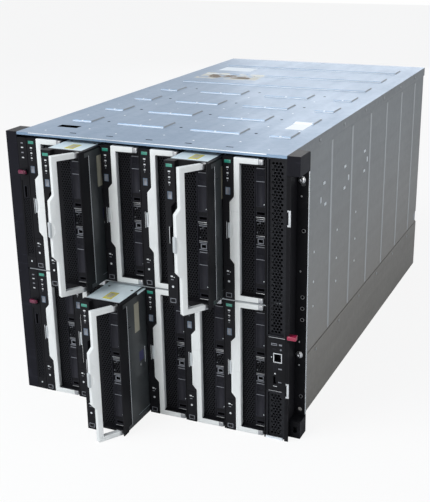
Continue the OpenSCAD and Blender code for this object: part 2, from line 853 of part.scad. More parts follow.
// Extrudes a front outline (x right, y up) backwards from depth q0 to q1.
module from_front(q0, q1) {
    translate([0, q1, 0]) rotate([90, 0, 0]) linear_extrude(q1 - q0) children();
}

hook_l = 46;

// Moulded front: control strip, recess for the handle, drive fronts and pivot pegs.
module blade_bezel(i) {
    color("black") in_bay(i) {
        difference() {
            block([side_gap, 0, 0], [pitch - side_gap, bezel_d, face_h]);
            block([lever_x0 - lever_gap, -1, -1], [field_x0, recess_d, face_h + 1]);
            for (z = [[-1, arm_room], [face_h - arm_room, face_h + 1]])
                block([field_x0 - 1, -1, z[0]], [field_x1, recess_d, z[1]]);
            block([field_x0 - 1, -1, arm_room + ledge_t],
                  [field_x1, recess_d, face_h - arm_room - ledge_t]);
            block([field_x0 - 1, -1, arm_room - 1], [field_x1, 0.8, face_h - arm_room + 1]);
            from_front(-1, recess_d) polygon(concat(
                [[lever_x0 + 1, grip_z - 1]], grip_line(lever_gap),
                [[lever_x0 + 1, grip_z + grip_h + 1]]));
            from_front(-1, recess_d) thumb_shape(lever_gap);
        }
        for (z = [drive_z, face_h - drive_z - drive_h])
            block([drive_x0, recess_d - drive_rise, z], [field_x1 - 0.3, recess_d + eps, z + drive_h]);
        for (z = [arm_room - arm_h + 1.5, face_h - arm_room - eps])
            translate([pivot_x, pivot_y, z]) cylinder(r = peg_r, h = arm_h - 1.2);
        block([case_x1 - ledge_w + 1, bezel_d - 1, case_z1 - ledge_h],
              [case_x1, bezel_d + hook_l, case_z1]);
    }
}

// Ejector handle: a lever with a swollen grip and thumb latch between two arms, each
// with a round knuckle that turns on the bezel's peg.
module blade_handle(i) {
    color("whitesmoke") in_bay(i)
        translate([pivot_x, pivot_y, 0]) rotate([0, 0, opening(i)])
            translate([-pivot_x, -pivot_y, 0]) difference() {
                union() {
                    from_front(0, lever_t) polygon(concat(
                        [[lever_x1, 0], [lever_x0, 0]], grip_line(0),
                        [[lever_x0, face_h], [lever_x1, face_h]]));
                    from_front(0, lever_t - 2) thumb_shape(0);
                    for (z = [0, face_h - arm_h]) {
                        block([lever_x1 - 1, 1, z], [pivot_x, lever_t, z + arm_h]);
                        translate([pivot_x, pivot_y, z]) cylinder(r = knuckle_r, h = arm_h);
                    }
                }
                from_front(-1, dish_deep) dish_shape();
                translate([pivot_x, pivot_y, -1])
                    cylinder(r = peg_r + peg_play, h = face_h + 2);
            }
}

base_pan();
top_cover();
side_panel_left();
side_panel_right();
skirt_plates();
bay_shelf();
bay_dividers();
midplane_board();
rear_frame();
rack_ear_left();
rack_ear_right();
ear_cap_left();
ear_cap_right();
side_grilles();
port_panel();
port_panel_latch();
appliance_upper();
appliance_upper_lever();
appliance_lower();
appliance_lower_lever();
interconnect_modules();
fan_modules();
power_supplies();
body_screws();
for (i = [1:BLADES]) {
    blade_case(i);
    blade_bezel(i);
    blade_handle(i);
}
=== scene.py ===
"""Looks of the blade server chassis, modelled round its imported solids.

Everything is in metres in the solids' frame: X to the right, Y from front to back, Z up.
Small measures are written in millimetres and passed through MM.
"""

import json
import math

import bmesh
import bpy
from bpy.props import FloatProperty, FloatVectorProperty, PointerProperty
from mathutils import Matrix, Vector

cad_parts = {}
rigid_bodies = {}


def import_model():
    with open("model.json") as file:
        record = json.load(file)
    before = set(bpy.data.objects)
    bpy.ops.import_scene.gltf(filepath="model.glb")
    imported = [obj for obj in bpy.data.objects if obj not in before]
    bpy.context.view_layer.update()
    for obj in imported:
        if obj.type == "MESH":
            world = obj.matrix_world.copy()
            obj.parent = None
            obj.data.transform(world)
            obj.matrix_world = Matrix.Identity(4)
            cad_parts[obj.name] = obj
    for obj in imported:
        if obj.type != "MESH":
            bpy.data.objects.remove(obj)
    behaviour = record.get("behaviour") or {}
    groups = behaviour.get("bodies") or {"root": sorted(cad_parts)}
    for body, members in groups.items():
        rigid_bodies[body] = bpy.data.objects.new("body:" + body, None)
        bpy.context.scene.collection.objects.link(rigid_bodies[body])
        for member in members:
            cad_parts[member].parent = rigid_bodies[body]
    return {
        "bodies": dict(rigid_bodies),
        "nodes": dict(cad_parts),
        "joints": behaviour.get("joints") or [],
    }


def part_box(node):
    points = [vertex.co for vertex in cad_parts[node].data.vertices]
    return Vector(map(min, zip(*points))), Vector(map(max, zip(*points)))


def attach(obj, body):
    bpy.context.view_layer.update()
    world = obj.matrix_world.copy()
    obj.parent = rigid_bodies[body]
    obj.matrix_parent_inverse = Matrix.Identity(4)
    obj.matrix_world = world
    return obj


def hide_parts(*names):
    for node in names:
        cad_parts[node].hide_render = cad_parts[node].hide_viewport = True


bl_info = {
    "name": "Blade Server Chassis Looks",
    "version": (1, 0, 0),
    "blender": (4, 5, 0),
    "location": "View3D > Sidebar > Chassis",
    "description": "Materials and small parts of a rack-mounted blade server chassis",
    "category": "Object",
}

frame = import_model()

MM = 0.001
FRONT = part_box("base_pan")[0].y
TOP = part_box("side_panel_right")[1].z + 1.2 * MM
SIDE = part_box("skirt_plates")[1].x
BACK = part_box("top_cover")[1].y
EAR_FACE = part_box("rack_ear_right")[0].y + 38 * MM
JOINTS = {joint["name"]: joint for joint in frame["joints"]}
BLADES = sorted(body[6:] for body in frame["bodies"] if body.startswith("blade_"))


# Small tools for modelling


def clear_selection():
    """Back to object mode with nothing selected."""
    if bpy.context.object and bpy.context.object.mode != "OBJECT":
        bpy.ops.object.mode_set(mode="OBJECT")
    bpy.ops.object.select_all(action="DESELECT")


def settle(name):
    """Names the new piece and puts its place and size into its mesh."""
    piece = bpy.context.object
    piece.name = piece.data.name = name
    bpy.ops.object.transform_apply(location=True, rotation=True, scale=True)
    return piece


def add_block(name, low, high):
    """A block between two corners in millimetres."""
    clear_selection()
    low, high = Vector(low) * MM, Vector(high) * MM
    bpy.ops.mesh.primitive_cube_add(size=1, location=(low + high) / 2)
    bpy.context.object.scale = high - low
    return settle(name)


FACING = {"front": (math.pi / 2, 0, 0), "side": (0, math.pi / 2, 0), "top": (0, 0, 0),
          "back": (-math.pi / 2, 0, 0)}


def add_disc(name, centre, radius, thick, facing="front", sides=20):
    """A flat cylinder round a centre in millimetres, its axis along the way it faces."""
    clear_selection()
    bpy.ops.mesh.primitive_cylinder_add(
        vertices=sides, radius=radius * MM, depth=thick * MM,
        location=Vector(centre) * MM, rotation=FACING[facing])
    return settle(name)


def soften(piece, width, segments=2, angle=30):
    """Rounds every edge sharper than the angle."""
    clear_selection()
    piece.select_set(True)
    bpy.context.view_layer.objects.active = piece
    bevel = piece.modifiers.new("edge", "BEVEL")
    bevel.width = width * MM
    bevel.segments = segments
    bevel.limit_method = "ANGLE"
    bevel.angle_limit = math.radians(angle)
    bpy.ops.object.modifier_apply(modifier="edge")
    bpy.ops.object.shade_smooth_by_angle(angle=math.radians(35))
    return piece


def edit(piece):
    """Opens a piece in edit mode with nothing selected, in face mode."""
    clear_selection()
    piece.select_set(True)
    bpy.context.view_layer.objects.active = piece
    bpy.ops.object.mode_set(mode="EDIT")
    bpy.ops.mesh.select_mode(type="FACE")
    bpy.ops.mesh.select_all(action="DESELECT")


def pick(piece, wanted, what="faces"):
    """Selects the faces or vertices whose place in millimetres, and normal, are wanted."""
    bpy.ops.mesh.select_mode(type="FACE" if what == "faces" else "VERT")
    bpy.ops.mesh.select_all(action="DESELECT")
    mesh = bmesh.from_edit_mesh(piece.data)
    if what == "faces":
        for face in mesh.faces:
            face.select_set(wanted(face.calc_center_median() / MM, face.normal))
    else:
        for vert in mesh.verts:
            vert.select_set(wanted(vert.co / MM, vert.normal))
    mesh.select_flush_mode()
    bmesh.update_edit_mesh(piece.data)


def cut(place, normal):
    """Cuts the whole mesh in edit mode by a plane through a place in millimetres."""
    bpy.ops.mesh.select_all(action="SELECT")
    bpy.ops.mesh.bisect(plane_co=Vector(place) * MM, plane_no=normal)


def close(piece):
    bpy.ops.object.mode_set(mode="OBJECT")
    return piece


def paint(piece, *finishes):
    """Gives a piece its finishes, the first one all over."""
    for finish in finishes:
        piece.data.materials.append(finish)
    return piece


def block_in(finish, round_by, name, low, high, segments=2):
    """A rounded block in one of the finishes."""
    return paint(soften(add_block(name, low, high), round_by, segments), FINISH[finish])


def disc_in(finish, round_by, name, centre, radius, thick, facing="front", sides=20, segments=2):
    """A rounded disc in one of the finishes."""
    return paint(soften(add_disc(name, centre, radius, thick, facing, sides), round_by, segments),
                 FINISH[finish])


def join(pieces, name):
    """Joins pieces into the first, keeping every finish."""
    clear_selection()
    for piece in pieces:
        piece.select_set(True)
    bpy.context.view_layer.objects.active = pieces[0]
    if len(pieces) > 1:
        bpy.ops.object.join()
    pieces[0].name = pieces[0].data.name = name
    return pieces[0]


def carve(piece, cutter):
    """Takes a cutter's shape out of a piece and deletes the cutter."""
    clear_selection()
    piece.select_set(True)
    bpy.context.view_layer.objects.active = piece
    carving = piece.modifiers.new("carving", "BOOLEAN")
    carving.operation = "DIFFERENCE"
    carving.solver = "EXACT"
    carving.object = cutter
    bpy.ops.object.modifier_apply(modifier="carving")
    bpy.data.objects.remove(cutter)
    return piece


def copied(piece, name, move, turn=None):
    """A copy of a piece with its own mesh, turned and then moved, in metres."""
    twin = piece.copy()
    twin.data = piece.data.copy()
    twin.name = twin.data.name = name
    bpy.context.scene.collection.objects.link(twin)
    place = Matrix.Translation(move)
    twin.data.transform(place @ turn if turn else place)
    return twin


def repeat(piece, places, name):
    """One piece made of copies of a small part at each place in millimetres."""
    copies = [copied(piece, name, Vector(place) * MM) for place in places]
    bpy.data.objects.remove(piece)
    return join(copies, name)


def fix(piece, body):
    """Fixes a finished piece to a body."""
    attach(piece, body)
    return piece


# Finishes


def new_group(name, inputs, outputs):
    """An empty shader node group with named sockets, and its own input and output."""
    group = bpy.data.node_groups.new(name, "ShaderNodeTree")
    for socket, kind, value in inputs:
        made = group.interface.new_socket(name=socket, in_out="INPUT", socket_type=kind)
        if value is not None:
            made.default_value = value
    for socket, kind in outputs:
        group.interface.new_socket(name=socket, in_out="OUTPUT", socket_type=kind)
    return group, group.nodes.new("NodeGroupInput"), group.nodes.new("NodeGroupOutput")


def add_node(tree, kind, **settings):
    node = tree.nodes.new(kind)
    for setting, value in settings.items():
        setattr(node, setting, value)
    return node


def noise(tree, vector, scale, detail=3.0, stretch=None):
    """A noise texture on a vector, its scale a number or a socket."""
    if stretch:
        mapping = add_node(tree, "ShaderNodeMapping")
        mapping.inputs["Scale"].default_value = stretch
        tree.links.new(vector, mapping.inputs["Vector"])
        vector = mapping.outputs["Vector"]
    node = add_node(tree, "ShaderNodeTexNoise")
    node.inputs["Detail"].default_value = detail
    tree.links.new(vector, node.inputs["Vector"])
    if isinstance(scale, (int, float)):
        node.inputs["Scale"].default_value = scale
    else:
        tree.links.new(scale, node.inputs["Scale"])
    return node.outputs["Fac"]


def spread(tree, value, low, high, to_low=0.0, to_high=1.0):
    """Maps a value from low..high to another range, clamped."""
    node = add_node(tree, "ShaderNodeMapRange")
    for socket, number in zip(("From Min", "From Max", "To Min", "To Max"),
                              (low, high, to_low, to_high)):
        node.inputs[socket].default_value = number
    tree.links.new(value, node.inputs["Value"])
    return node.outputs["Result"]


def sums(tree, operation, first, second):
    """A math node on two sockets or numbers."""
    node = add_node(tree, "ShaderNodeMath", operation=operation)
    for socket, value in zip(node.inputs, (first, second)):
        if isinstance(value, (int, float)):
            socket.default_value = value
        else:
            tree.links.new(value, socket)
    return node.outputs["Value"]


def build_grain_group():
    """Fine moulding or coating grain: a tone round the middle and a height."""
    tree, source, sink = new_group(
        "moulding_grain", [("Vector", "NodeSocketVector", None), ("Scale", "NodeSocketFloat", 900.0)],
        [("Tone", "NodeSocketFloat"), ("Height", "NodeSocketFloat")])
    fine = noise(tree, source.outputs["Vector"], source.outputs["Scale"], 2.0)
    broad = noise(tree, source.outputs["Vector"], 14.0, 3.0)
    tone = sums(tree, "ADD", sums(tree, "MULTIPLY", spread(tree, fine, 0.3, 0.7), 0.45),
                sums(tree, "MULTIPLY", spread(tree, broad, 0.3, 0.7), 0.55))
    tree.links.new(tone, sink.inputs["Tone"])
    tree.links.new(fine, sink.inputs["Height"])
    return tree


def build_zinc_group():
    """Zinc coating: spangles, rolling streaks along Y and a faint ripple."""
    tree, source, sink = new_group(
        "zinc_spangle", [("Vector", "NodeSocketVector", None), ("Spangle", "NodeSocketFloat", 160.0)],
        [("Tone", "NodeSocketFloat"), ("Height", "NodeSocketFloat")])
    cells = add_node(tree, "ShaderNodeTexVoronoi", feature="F1")
    tree.links.new(source.outputs["Vector"], cells.inputs["Vector"])
    tree.links.new(source.outputs["Spangle"], cells.inputs["Scale"])
    split = add_node(tree, "ShaderNodeSeparateColor")
    tree.links.new(cells.outputs["Color"], split.inputs["Color"])
    streaks = noise(tree, source.outputs["Vector"], 60.0, 4.0, (1.0, 0.06, 1.0))
    broad = noise(tree, source.outputs["Vector"], 5.0, 3.0)
    tone = sums(tree, "ADD", sums(tree, "MULTIPLY", split.outputs["Red"], 0.25),
                sums(tree, "MULTIPLY", spread(tree, streaks, 0.3, 0.7), 0.35))
    tone = sums(tree, "ADD", tone, sums(tree, "MULTIPLY", spread(tree, broad, 0.3, 0.7), 0.4))
    tree.links.new(tone, sink.inputs["Tone"])
    tree.links.new(sums(tree, "ADD", streaks, broad), sink.inputs["Height"])
    return tree


def build_scuff_group():
    """Thin handling scratches and rubbed spots, as a mask."""
    tree, source, sink = new_group(
        "handling_scuffs", [("Vector", "NodeSocketVector", None), ("Amount", "NodeSocketFloat", 0.3)],
        [("Mask", "NodeSocketFloat")])
    lines = noise(tree, source.outputs["Vector"], 220.0, 2.0, (0.08, 1.0, 1.0))
    spots = noise(tree, source.outputs["Vector"], 35.0, 4.0)
    thin = spread(tree, lines, 0.66, 0.72)
    rubbed = spread(tree, spots, 0.6, 0.75)
    mask = sums(tree, "MULTIPLY", sums(tree, "MAXIMUM", thin, rubbed), source.outputs["Amount"])
    tree.links.new(mask, sink.inputs["Mask"])
    return tree


GROUPS = {}


def start_finish(name, metallic=0.0, coat=0.0, gloss=0.5):
    """A new material and its tree, shader and object coordinates."""
    finish = bpy.data.materials.new(name)
    finish.use_nodes = True
    tree = finish.node_tree
    shader = tree.nodes["Principled BSDF"]
    shader.inputs["Metallic"].default_value = metallic
    shader.inputs["Coat Weight"].default_value = coat
    shader.inputs["Specular IOR Level"].default_value = gloss
    place = add_node(tree, "ShaderNodeTexCoord").outputs["Object"]
    return finish, tree, shader, place


def use_group(tree, key, place, **values):
    node = add_node(tree, "ShaderNodeGroup", node_tree=GROUPS[key])
    tree.links.new(place, node.inputs["Vector"])
    for socket, value in values.items():
        node.inputs[socket].default_value = value
    return node


def blend_colours(tree, mask, first, second):
    """A mix of two colours, each a tuple or a socket, by a mask."""
    node = add_node(tree, "ShaderNodeMix", data_type="RGBA")
    tree.links.new(mask, node.inputs["Factor"])
    for socket, value in ((node.inputs[6], first), (node.inputs[7], second)):
        if isinstance(value, (tuple, list)):
            socket.default_value = (*value[:3], 1.0)
        else:
            tree.links.new(value, socket)
    return node.outputs[2]


def bump(tree, shader, height, strength, distance=0.2):
    node = add_node(tree, "ShaderNodeBump")
    node.inputs["Strength"].default_value = strength
    node.inputs["Distance"].default_value = distance * MM
    tree.links.new(height, node.inputs["Height"])
    tree.links.new(node.outputs["Normal"], shader.inputs["Normal"])


def moulded(name, dark, light, rough=0.45, scale=900.0, relief=0.25, scuffs=0.25, scuff_tone=None,
            coat=0.0, gloss=0.5):
    """Moulded plastic or powder coat: fine grain, broad tone changes and light scuffs."""
    finish, tree, shader, place = start_finish(name, coat=coat, gloss=gloss)
    grain = use_group(tree, "grain", place, Scale=scale)
    worn = use_group(tree, "scuffs", place, Amount=scuffs)
    colour = blend_colours(tree, grain.outputs["Tone"], dark, light)
    if scuff_tone:
        colour = blend_colours(tree, worn.outputs["Mask"], colour, scuff_tone)
    tree.links.new(colour, shader.inputs["Base Color"])
    roughness = sums(tree, "SUBTRACT",
                     spread(tree, grain.outputs["Tone"], 0, 1, rough - 0.05, rough + 0.08),
                     sums(tree, "MULTIPLY", worn.outputs["Mask"], 0.12))
    tree.links.new(roughness, shader.inputs["Roughness"])
    bump(tree, shader, grain.outputs["Height"], relief)
    return finish


def box_mask(tree, place, low, high, edge, ragged=0.0):
    """A mask that is 1 inside a box given in millimetres, with a soft or ragged edge."""
    split = add_node(tree, "ShaderNodeSeparateXYZ")
    tree.links.new(place, split.inputs["Vector"])
    wobble = None
    if ragged:
        wobble = sums(tree, "MULTIPLY", sums(tree, "SUBTRACT", noise(tree, place, 28.0, 4.0), 0.5),
                      ragged * MM * 2)
    mask = None
    for axis, lo, hi in zip("XYZ", low, high):
        if lo is None:
            continue
        value = split.outputs[axis]
        if wobble is not None:
            value = sums(tree, "ADD", value, wobble)
        for one in (spread(tree, value, (lo - edge) * MM, lo * MM),
                    spread(tree, value, hi * MM, (hi + edge) * MM, 1.0, 0.0)):
            mask = one if mask is None else sums(tree, "MULTIPLY", mask, one)
    return mask


def zinc_sheet(name, dark, light, rough=0.38, metallic=0.55, spangle=160.0, relief=0.1,
               shade=None, side=None, patches=(), raised=None):
    """Zinc-coated sheet. `shade` is painted shade, a tint by height or depth: axis, from, to (mm) and a
    colour.
    `side` is a colour for the faces that look sideways: painted shade and reflection on the sides.
    `patches` are boxes of another colour.
    `raised` is a distance from the middle (mm), past which pressed beads get a painted highlight, and the
    highlight's colour."""
    finish, tree, shader, place = start_finish(name, metallic=metallic)
    zinc = use_group(tree, "zinc", place, Spangle=spangle)
    colour = blend_colours(tree, zinc.outputs["Tone"], dark, light)
    # Painted shade: the colour blends towards the tint along one axis
    if shade:
        axis, start, end, tint = shade
        split = add_node(tree, "ShaderNodeSeparateXYZ")
        tree.links.new(place, split.inputs["Vector"])
        colour = blend_colours(tree, spread(tree, split.outputs[axis], start * MM, end * MM),
                               colour, tint)
    roughness = spread(tree, zinc.outputs["Tone"], 0, 1, rough + 0.08, rough - 0.06)
    for low, high, tint, ragged, patchy in patches:
        mask = box_mask(tree, place, low, high, 0.8, ragged)
        if patchy:
            mask = sums(tree, "MULTIPLY", mask, spread(tree, noise(tree, place, 34.0, 5.0), 0.42, 0.52))
        colour = blend_colours(tree, mask, colour, tint)
        roughness = sums(tree, "MAXIMUM", roughness, sums(tree, "MULTIPLY", mask, 0.75))
    # Painted highlight: whatever stands out past the distance, the pressed beads, turns lighter
    if raised:
        reach, tint = raised
        split = add_node(tree, "ShaderNodeSeparateXYZ")
        tree.links.new(place, split.inputs["Vector"])
        out = sums(tree, "ABSOLUTE", split.outputs["X"], 0.0)
        colour = blend_colours(tree, spread(tree, out, (reach - 0.15) * MM, (reach + 0.15) * MM), colour,
                               tint)
    # Painted shade and reflection: faces that look sideways get their own colour
    if side:
        turned = add_node(tree, "ShaderNodeTexCoord").outputs["Normal"]
        split = add_node(tree, "ShaderNodeSeparateXYZ")
        tree.links.new(turned, split.inputs["Vector"])
        facing = spread(tree, sums(tree, "ABSOLUTE", split.outputs["X"], 0.0), 0.5, 0.8)
        sideways_shade_colour = blend_colours(tree, zinc.outputs["Tone"], tuple(c * 0.75 for c in side), side)
        colour = blend_colours(tree, facing, colour, sideways_shade_colour)
    tree.links.new(colour, shader.inputs["Base Color"])
    tree.links.new(roughness, shader.inputs["Roughness"])
    bump(tree, shader, zinc.outputs["Height"], relief, 0.4)
    return finish


def bright_metal(name, tone, rough=0.2):
    """Plated or turned metal with a faint brushing."""
    finish, tree, shader, place = start_finish(name, metallic=1.0)
    grain = use_group(tree, "grain", place, Scale=1500.0)
    colour = blend_colours(tree, grain.outputs["Tone"], tuple(c * 0.8 for c in tone), tone)
    tree.links.new(colour, shader.inputs["Base Color"])
    tree.links.new(spread(tree, grain.outputs["Tone"], 0, 1, rough + 0.1, rough),
                   shader.inputs["Roughness"])
    bump(tree, shader, grain.outputs["Height"], 0.1)
    return finish


def sheet_print(name, tone, rough=0.6):
    """Printed marks and plain labels: an even colour with slight fading."""
    return moulded(name, tuple(c * 0.82 for c in tone), tone, rough, 500.0, 0.05, 0.0)


def lamp_glass(name, tone, glow):
    """A small status lens with a faint light behind it."""
    finish, tree, shader, place = start_finish(name, coat=0.6)
    grain = use_group(tree, "grain", place, Scale=400.0)
    colour = blend_colours(tree, grain.outputs["Tone"], tuple(c * 0.7 for c in tone), tone)
    tree.links.new(colour, shader.inputs["Base Color"])
    tree.links.new(colour, shader.inputs["Emission Color"])
    shader.inputs["Emission Strength"].default_value = glow
    shader.inputs["Roughness"].default_value = 0.25
    return finish


def circuit_board(name):
    """Green board with tracks: two sets of thin lines over a laminate."""
    finish, tree, shader, place = start_finish(name, coat=0.3)
    grain = use_group(tree, "grain", place, Scale=700.0)
    lines = add_node(tree, "ShaderNodeTexWave", wave_type="BANDS", bands_direction="X")
    lines.inputs["Scale"].default_value = 55.0
    lines.inputs["Distortion"].default_value = 6.0
    lines.inputs["Detail Scale"].default_value = 0.6
    tree.links.new(place, lines.inputs["Vector"])
    colour = blend_colours(tree, grain.outputs["Tone"], (0.015, 0.10, 0.05), (0.03, 0.17, 0.09))
    colour = blend_colours(tree, spread(tree, lines.outputs["Fac"], 0.7, 0.85), colour, (0.06, 0.26, 0.14))
    tree.links.new(colour, shader.inputs["Base Color"])
    shader.inputs["Roughness"].default_value = 0.4
    bump(tree, shader, lines.outputs["Fac"], 0.2)
    return finish


FINISH = {}


def build_finishes(colours):
    """Every finish of the chassis, by name."""
    GROUPS["grain"] = build_grain_group()
    GROUPS["zinc"] = build_zinc_group()
    GROUPS["scuffs"] = build_scuff_group()
    front = FRONT / MM
    cover = tuple(colours.cover)
    panel = tuple(colours.panel)
    black = tuple(colours.black)
    handle = tuple(colours.handle)
    FINISH.update(
        # The cover's sideways faces get a greyer colour, a painted difference in reflection from the top
        cover=zinc_sheet(
            "cover_zinc", tuple(c * 0.84 for c in cover), cover, 0.36, 0.55, 140.0, 0.12,
            side=tuple(c * 1.05 for c in panel),
            patches=[((-188, front + 562, None), (-57, front + 623, None), (0.60, 0.60, 0.56), 4.0, True),
                     ((-170, front + 575, None), (-75, front + 612, None), (0.20, 0.17, 0.14), 6.0, True),
                     ((-181, front + 657, None), (-109, front + 713, None), (0.74, 0.80, 0.86), 0.6, False),
                     ((159, front + 160, None), (187, front + 210, None), (0.86, 0.89, 0.93), 0.6, False)]),
        # Side panels get painted shade, darker towards the bottom
        panel=zinc_sheet("side_zinc", tuple(c * 0.86 for c in panel), panel, 0.5, 0.25, 120.0, 0.1,
                         shade=("Z", 380, 60, (0.26, 0.25, 0.235)),
                         # Painted highlight on the pressed beads of the side panels
                         raised=(SIDE / MM - 0.9, (0.40, 0.42, 0.44))),
        skirt=zinc_sheet("skirt_zinc", (0.19, 0.185, 0.172), (0.235, 0.225, 0.21), 0.5, 0.25, 120.0, 0.1),
        bright=zinc_sheet("bright_zinc", (0.72, 0.76, 0.80), (0.86, 0.90, 0.94), 0.32, 0.5, 180.0),
        inner=zinc_sheet("inner_zinc", (0.26, 0.28, 0.30), (0.36, 0.38, 0.40), 0.42, 0.5, 150.0),
        # The case's sideways faces are near black, painted shade and reflection on the blade sides
        case=zinc_sheet("case_zinc", (0.68, 0.80, 0.84), (0.80, 0.90, 0.94), 0.3, 0.1, 170.0, 0.1,
                        side=(0.050, 0.056, 0.060)),
        coat=moulded("black_powder_coat", tuple(c * 0.6 for c in black), tuple(c * 1.1 for c in black),
                     0.45, 1100.0, 0.3, 0.25, (0.03, 0.03, 0.034), gloss=0.08),
        cap=moulded("cap_moulding", (0.004, 0.004, 0.007), (0.010, 0.010, 0.015), 0.4, 800.0, 0.15, 0.3,
                    (0.03, 0.03, 0.045), gloss=0.1),
        bezel=moulded("bezel_moulding", tuple(c * 0.7 for c in black), tuple(c * 1.2 for c in black),
                      0.42, 900.0, 0.2, 0.3, (0.018, 0.02, 0.022), gloss=0.10),
        mesh=moulded("mesh_black", (0.012, 0.012, 0.015), (0.020, 0.021, 0.025), 0.42, 900.0, 0.2, 0.2,
                     gloss=0.12),
        # Near black: painted shade inside holes, vent cells, slots and sockets; also used for a seam line
        # and small tabs
        dark=moulded("hole_shade_black", (0.001, 0.001, 0.001), (0.002, 0.002, 0.0025), 0.9, 400.0, 0.05, 0.0,
                     gloss=0.0),
        drive=moulded("drive_front", (0.016, 0.016, 0.021), (0.026, 0.026, 0.033), 0.5, 900.0, 0.15, 0.3,
                      gloss=0.08),
        handle=moulded("handle_moulding", tuple(c * 0.92 for c in handle), handle, 0.42, 900.0, 0.12, 0.3,
                       tuple(c * 0.8 for c in handle), gloss=0.4),
        thumb=moulded("thumb_moulding", (0.42, 0.45, 0.47), (0.54, 0.57, 0.59), 0.45, 800.0, 0.12, 0.2),
        release=moulded("release_raspberry", (0.28, 0.010, 0.045), (0.38, 0.016, 0.065), 0.32, 900.0, 0.1,
                        0.2, coat=0.3),
        lever=moulded("lever_maroon", (0.10, 0.006, 0.030), (0.15, 0.010, 0.045), 0.34, 900.0, 0.1, 0.2,
                      coat=0.3),
        module=moulded("module_grey", (0.30, 0.31, 0.33), (0.38, 0.39, 0.41), 0.45, 700.0, 0.15, 0.2),
        chrome=bright_metal("screw_plating", (0.82, 0.83, 0.86), 0.14),
        pin=bright_metal("hinge_steel", (0.42, 0.43, 0.45), 0.3),
        gold=bright_metal("contact_gold", (0.78, 0.58, 0.24), 0.25),
        white=sheet_print("white_print", (0.66, 0.68, 0.70)),
        grey=sheet_print("grey_print", (0.22, 0.23, 0.26)),
        blue=sheet_print("blue_label", (0.12, 0.17, 0.24)),
        cream=sheet_print("cream_label", (0.42, 0.40, 0.31)),
        yellow=sheet_print("yellow_label", (0.62, 0.56, 0.10)),
        violet=sheet_print("violet_label", (0.03, 0.03, 0.10)),
        lens=lamp_glass("status_lens", (0.02, 0.22, 0.16), 0.15),
        lamp=lamp_glass("small_lamp", (0.55, 0.60, 0.62), 0.25),
        green_lamp=lamp_glass("running_lamp", (0.05, 0.55, 0.10), 0.6),
        board=circuit_board("board_laminate"),
    )


CAD_FINISH = {
    "base_pan": "bright", "top_cover": "cover", "side_panel_left": "panel", "side_panel_right": "panel",
    "skirt_plates": "skirt", "bay_shelf": "inner", "bay_dividers": "inner", "midplane_board": "board",
    "rear_frame": "inner", "rack_ear_left": "coat", "rack_ear_right": "coat", "ear_cap_left": "cap",
    "ear_cap_right": "cap", "side_grilles": "mesh", "port_panel": "bezel", "port_panel_latch": "release",
    "appliance_upper": "bezel", "appliance_upper_lever": "lever", "appliance_lower": "bezel",
    "appliance_lower_lever": "lever", "interconnect_modules": "module", "fan_modules": "mesh",
    "power_supplies": "module", "body_screws": "chrome",
}


def dress_solids():
    """Gives every solid that stays in view its finish."""
    for node, solid in frame["nodes"].items():
        key = CAD_FINISH.get(node)
        if key is None:
            key = {"case": "case", "bezel": "bezel", "handle": "handle"}[node.split("_")[-1]]
        solid.data.materials.clear()
        solid.data.materials.append(FINISH[key])


# Server blades: pieces are modelled once, from a blade's lower left front corner, and copied


FACE_H = (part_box("blade_01_bezel")[1].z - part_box("blade_01_bezel")[0].z) / MM
FLOOR_Y = 9.9
PIVOT = (58.0, 5.2)
CASE_SIDE = 64.7
DRIVE_LEFT = 47.4
BAR_LEFT, BAR_RIGHT, BAR_DEEP = 17.0, 25.5, 8.4
ARM_HIGH = 8.2
GRIP_LOW, GRIP_HIGH, GRIP_SLOPE, GRIP_REACH = 64.0, 149.0, 8.0, 7.0
ARM_REACH = 28.5


def blade_corner(number):
    """Lower left front corner of a blade's bay opening, as far out as the blade stands."""
    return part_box(f"blade_{number}_bezel")[0] - Vector((0.4 * MM, 0, 0))


def copy_to_blades(template, part, body="blade"):
    """A copy of a template on every blade, and none of the template left."""
    for number in BLADES:
        turn = None
        if body == "handle":
            angle = -math.radians(JOINTS[f"blade_{number}_handle_hinge"]["range_deg"][0])
            pin = Vector((PIVOT[0] * MM, PIVOT[1] * MM, 0))
            turn = Matrix.Translation(pin) @ Matrix.Rotation(angle, 4, "Z") @ Matrix.Translation(-pin)
        piece = copied(template, f"blade_{number}_{part}", blade_corner(number), turn)
        fix(piece, f"{body}_{number}")
        if part == "lever":
            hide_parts(f"blade_{number}_handle")
    bpy.data.objects.remove(template)


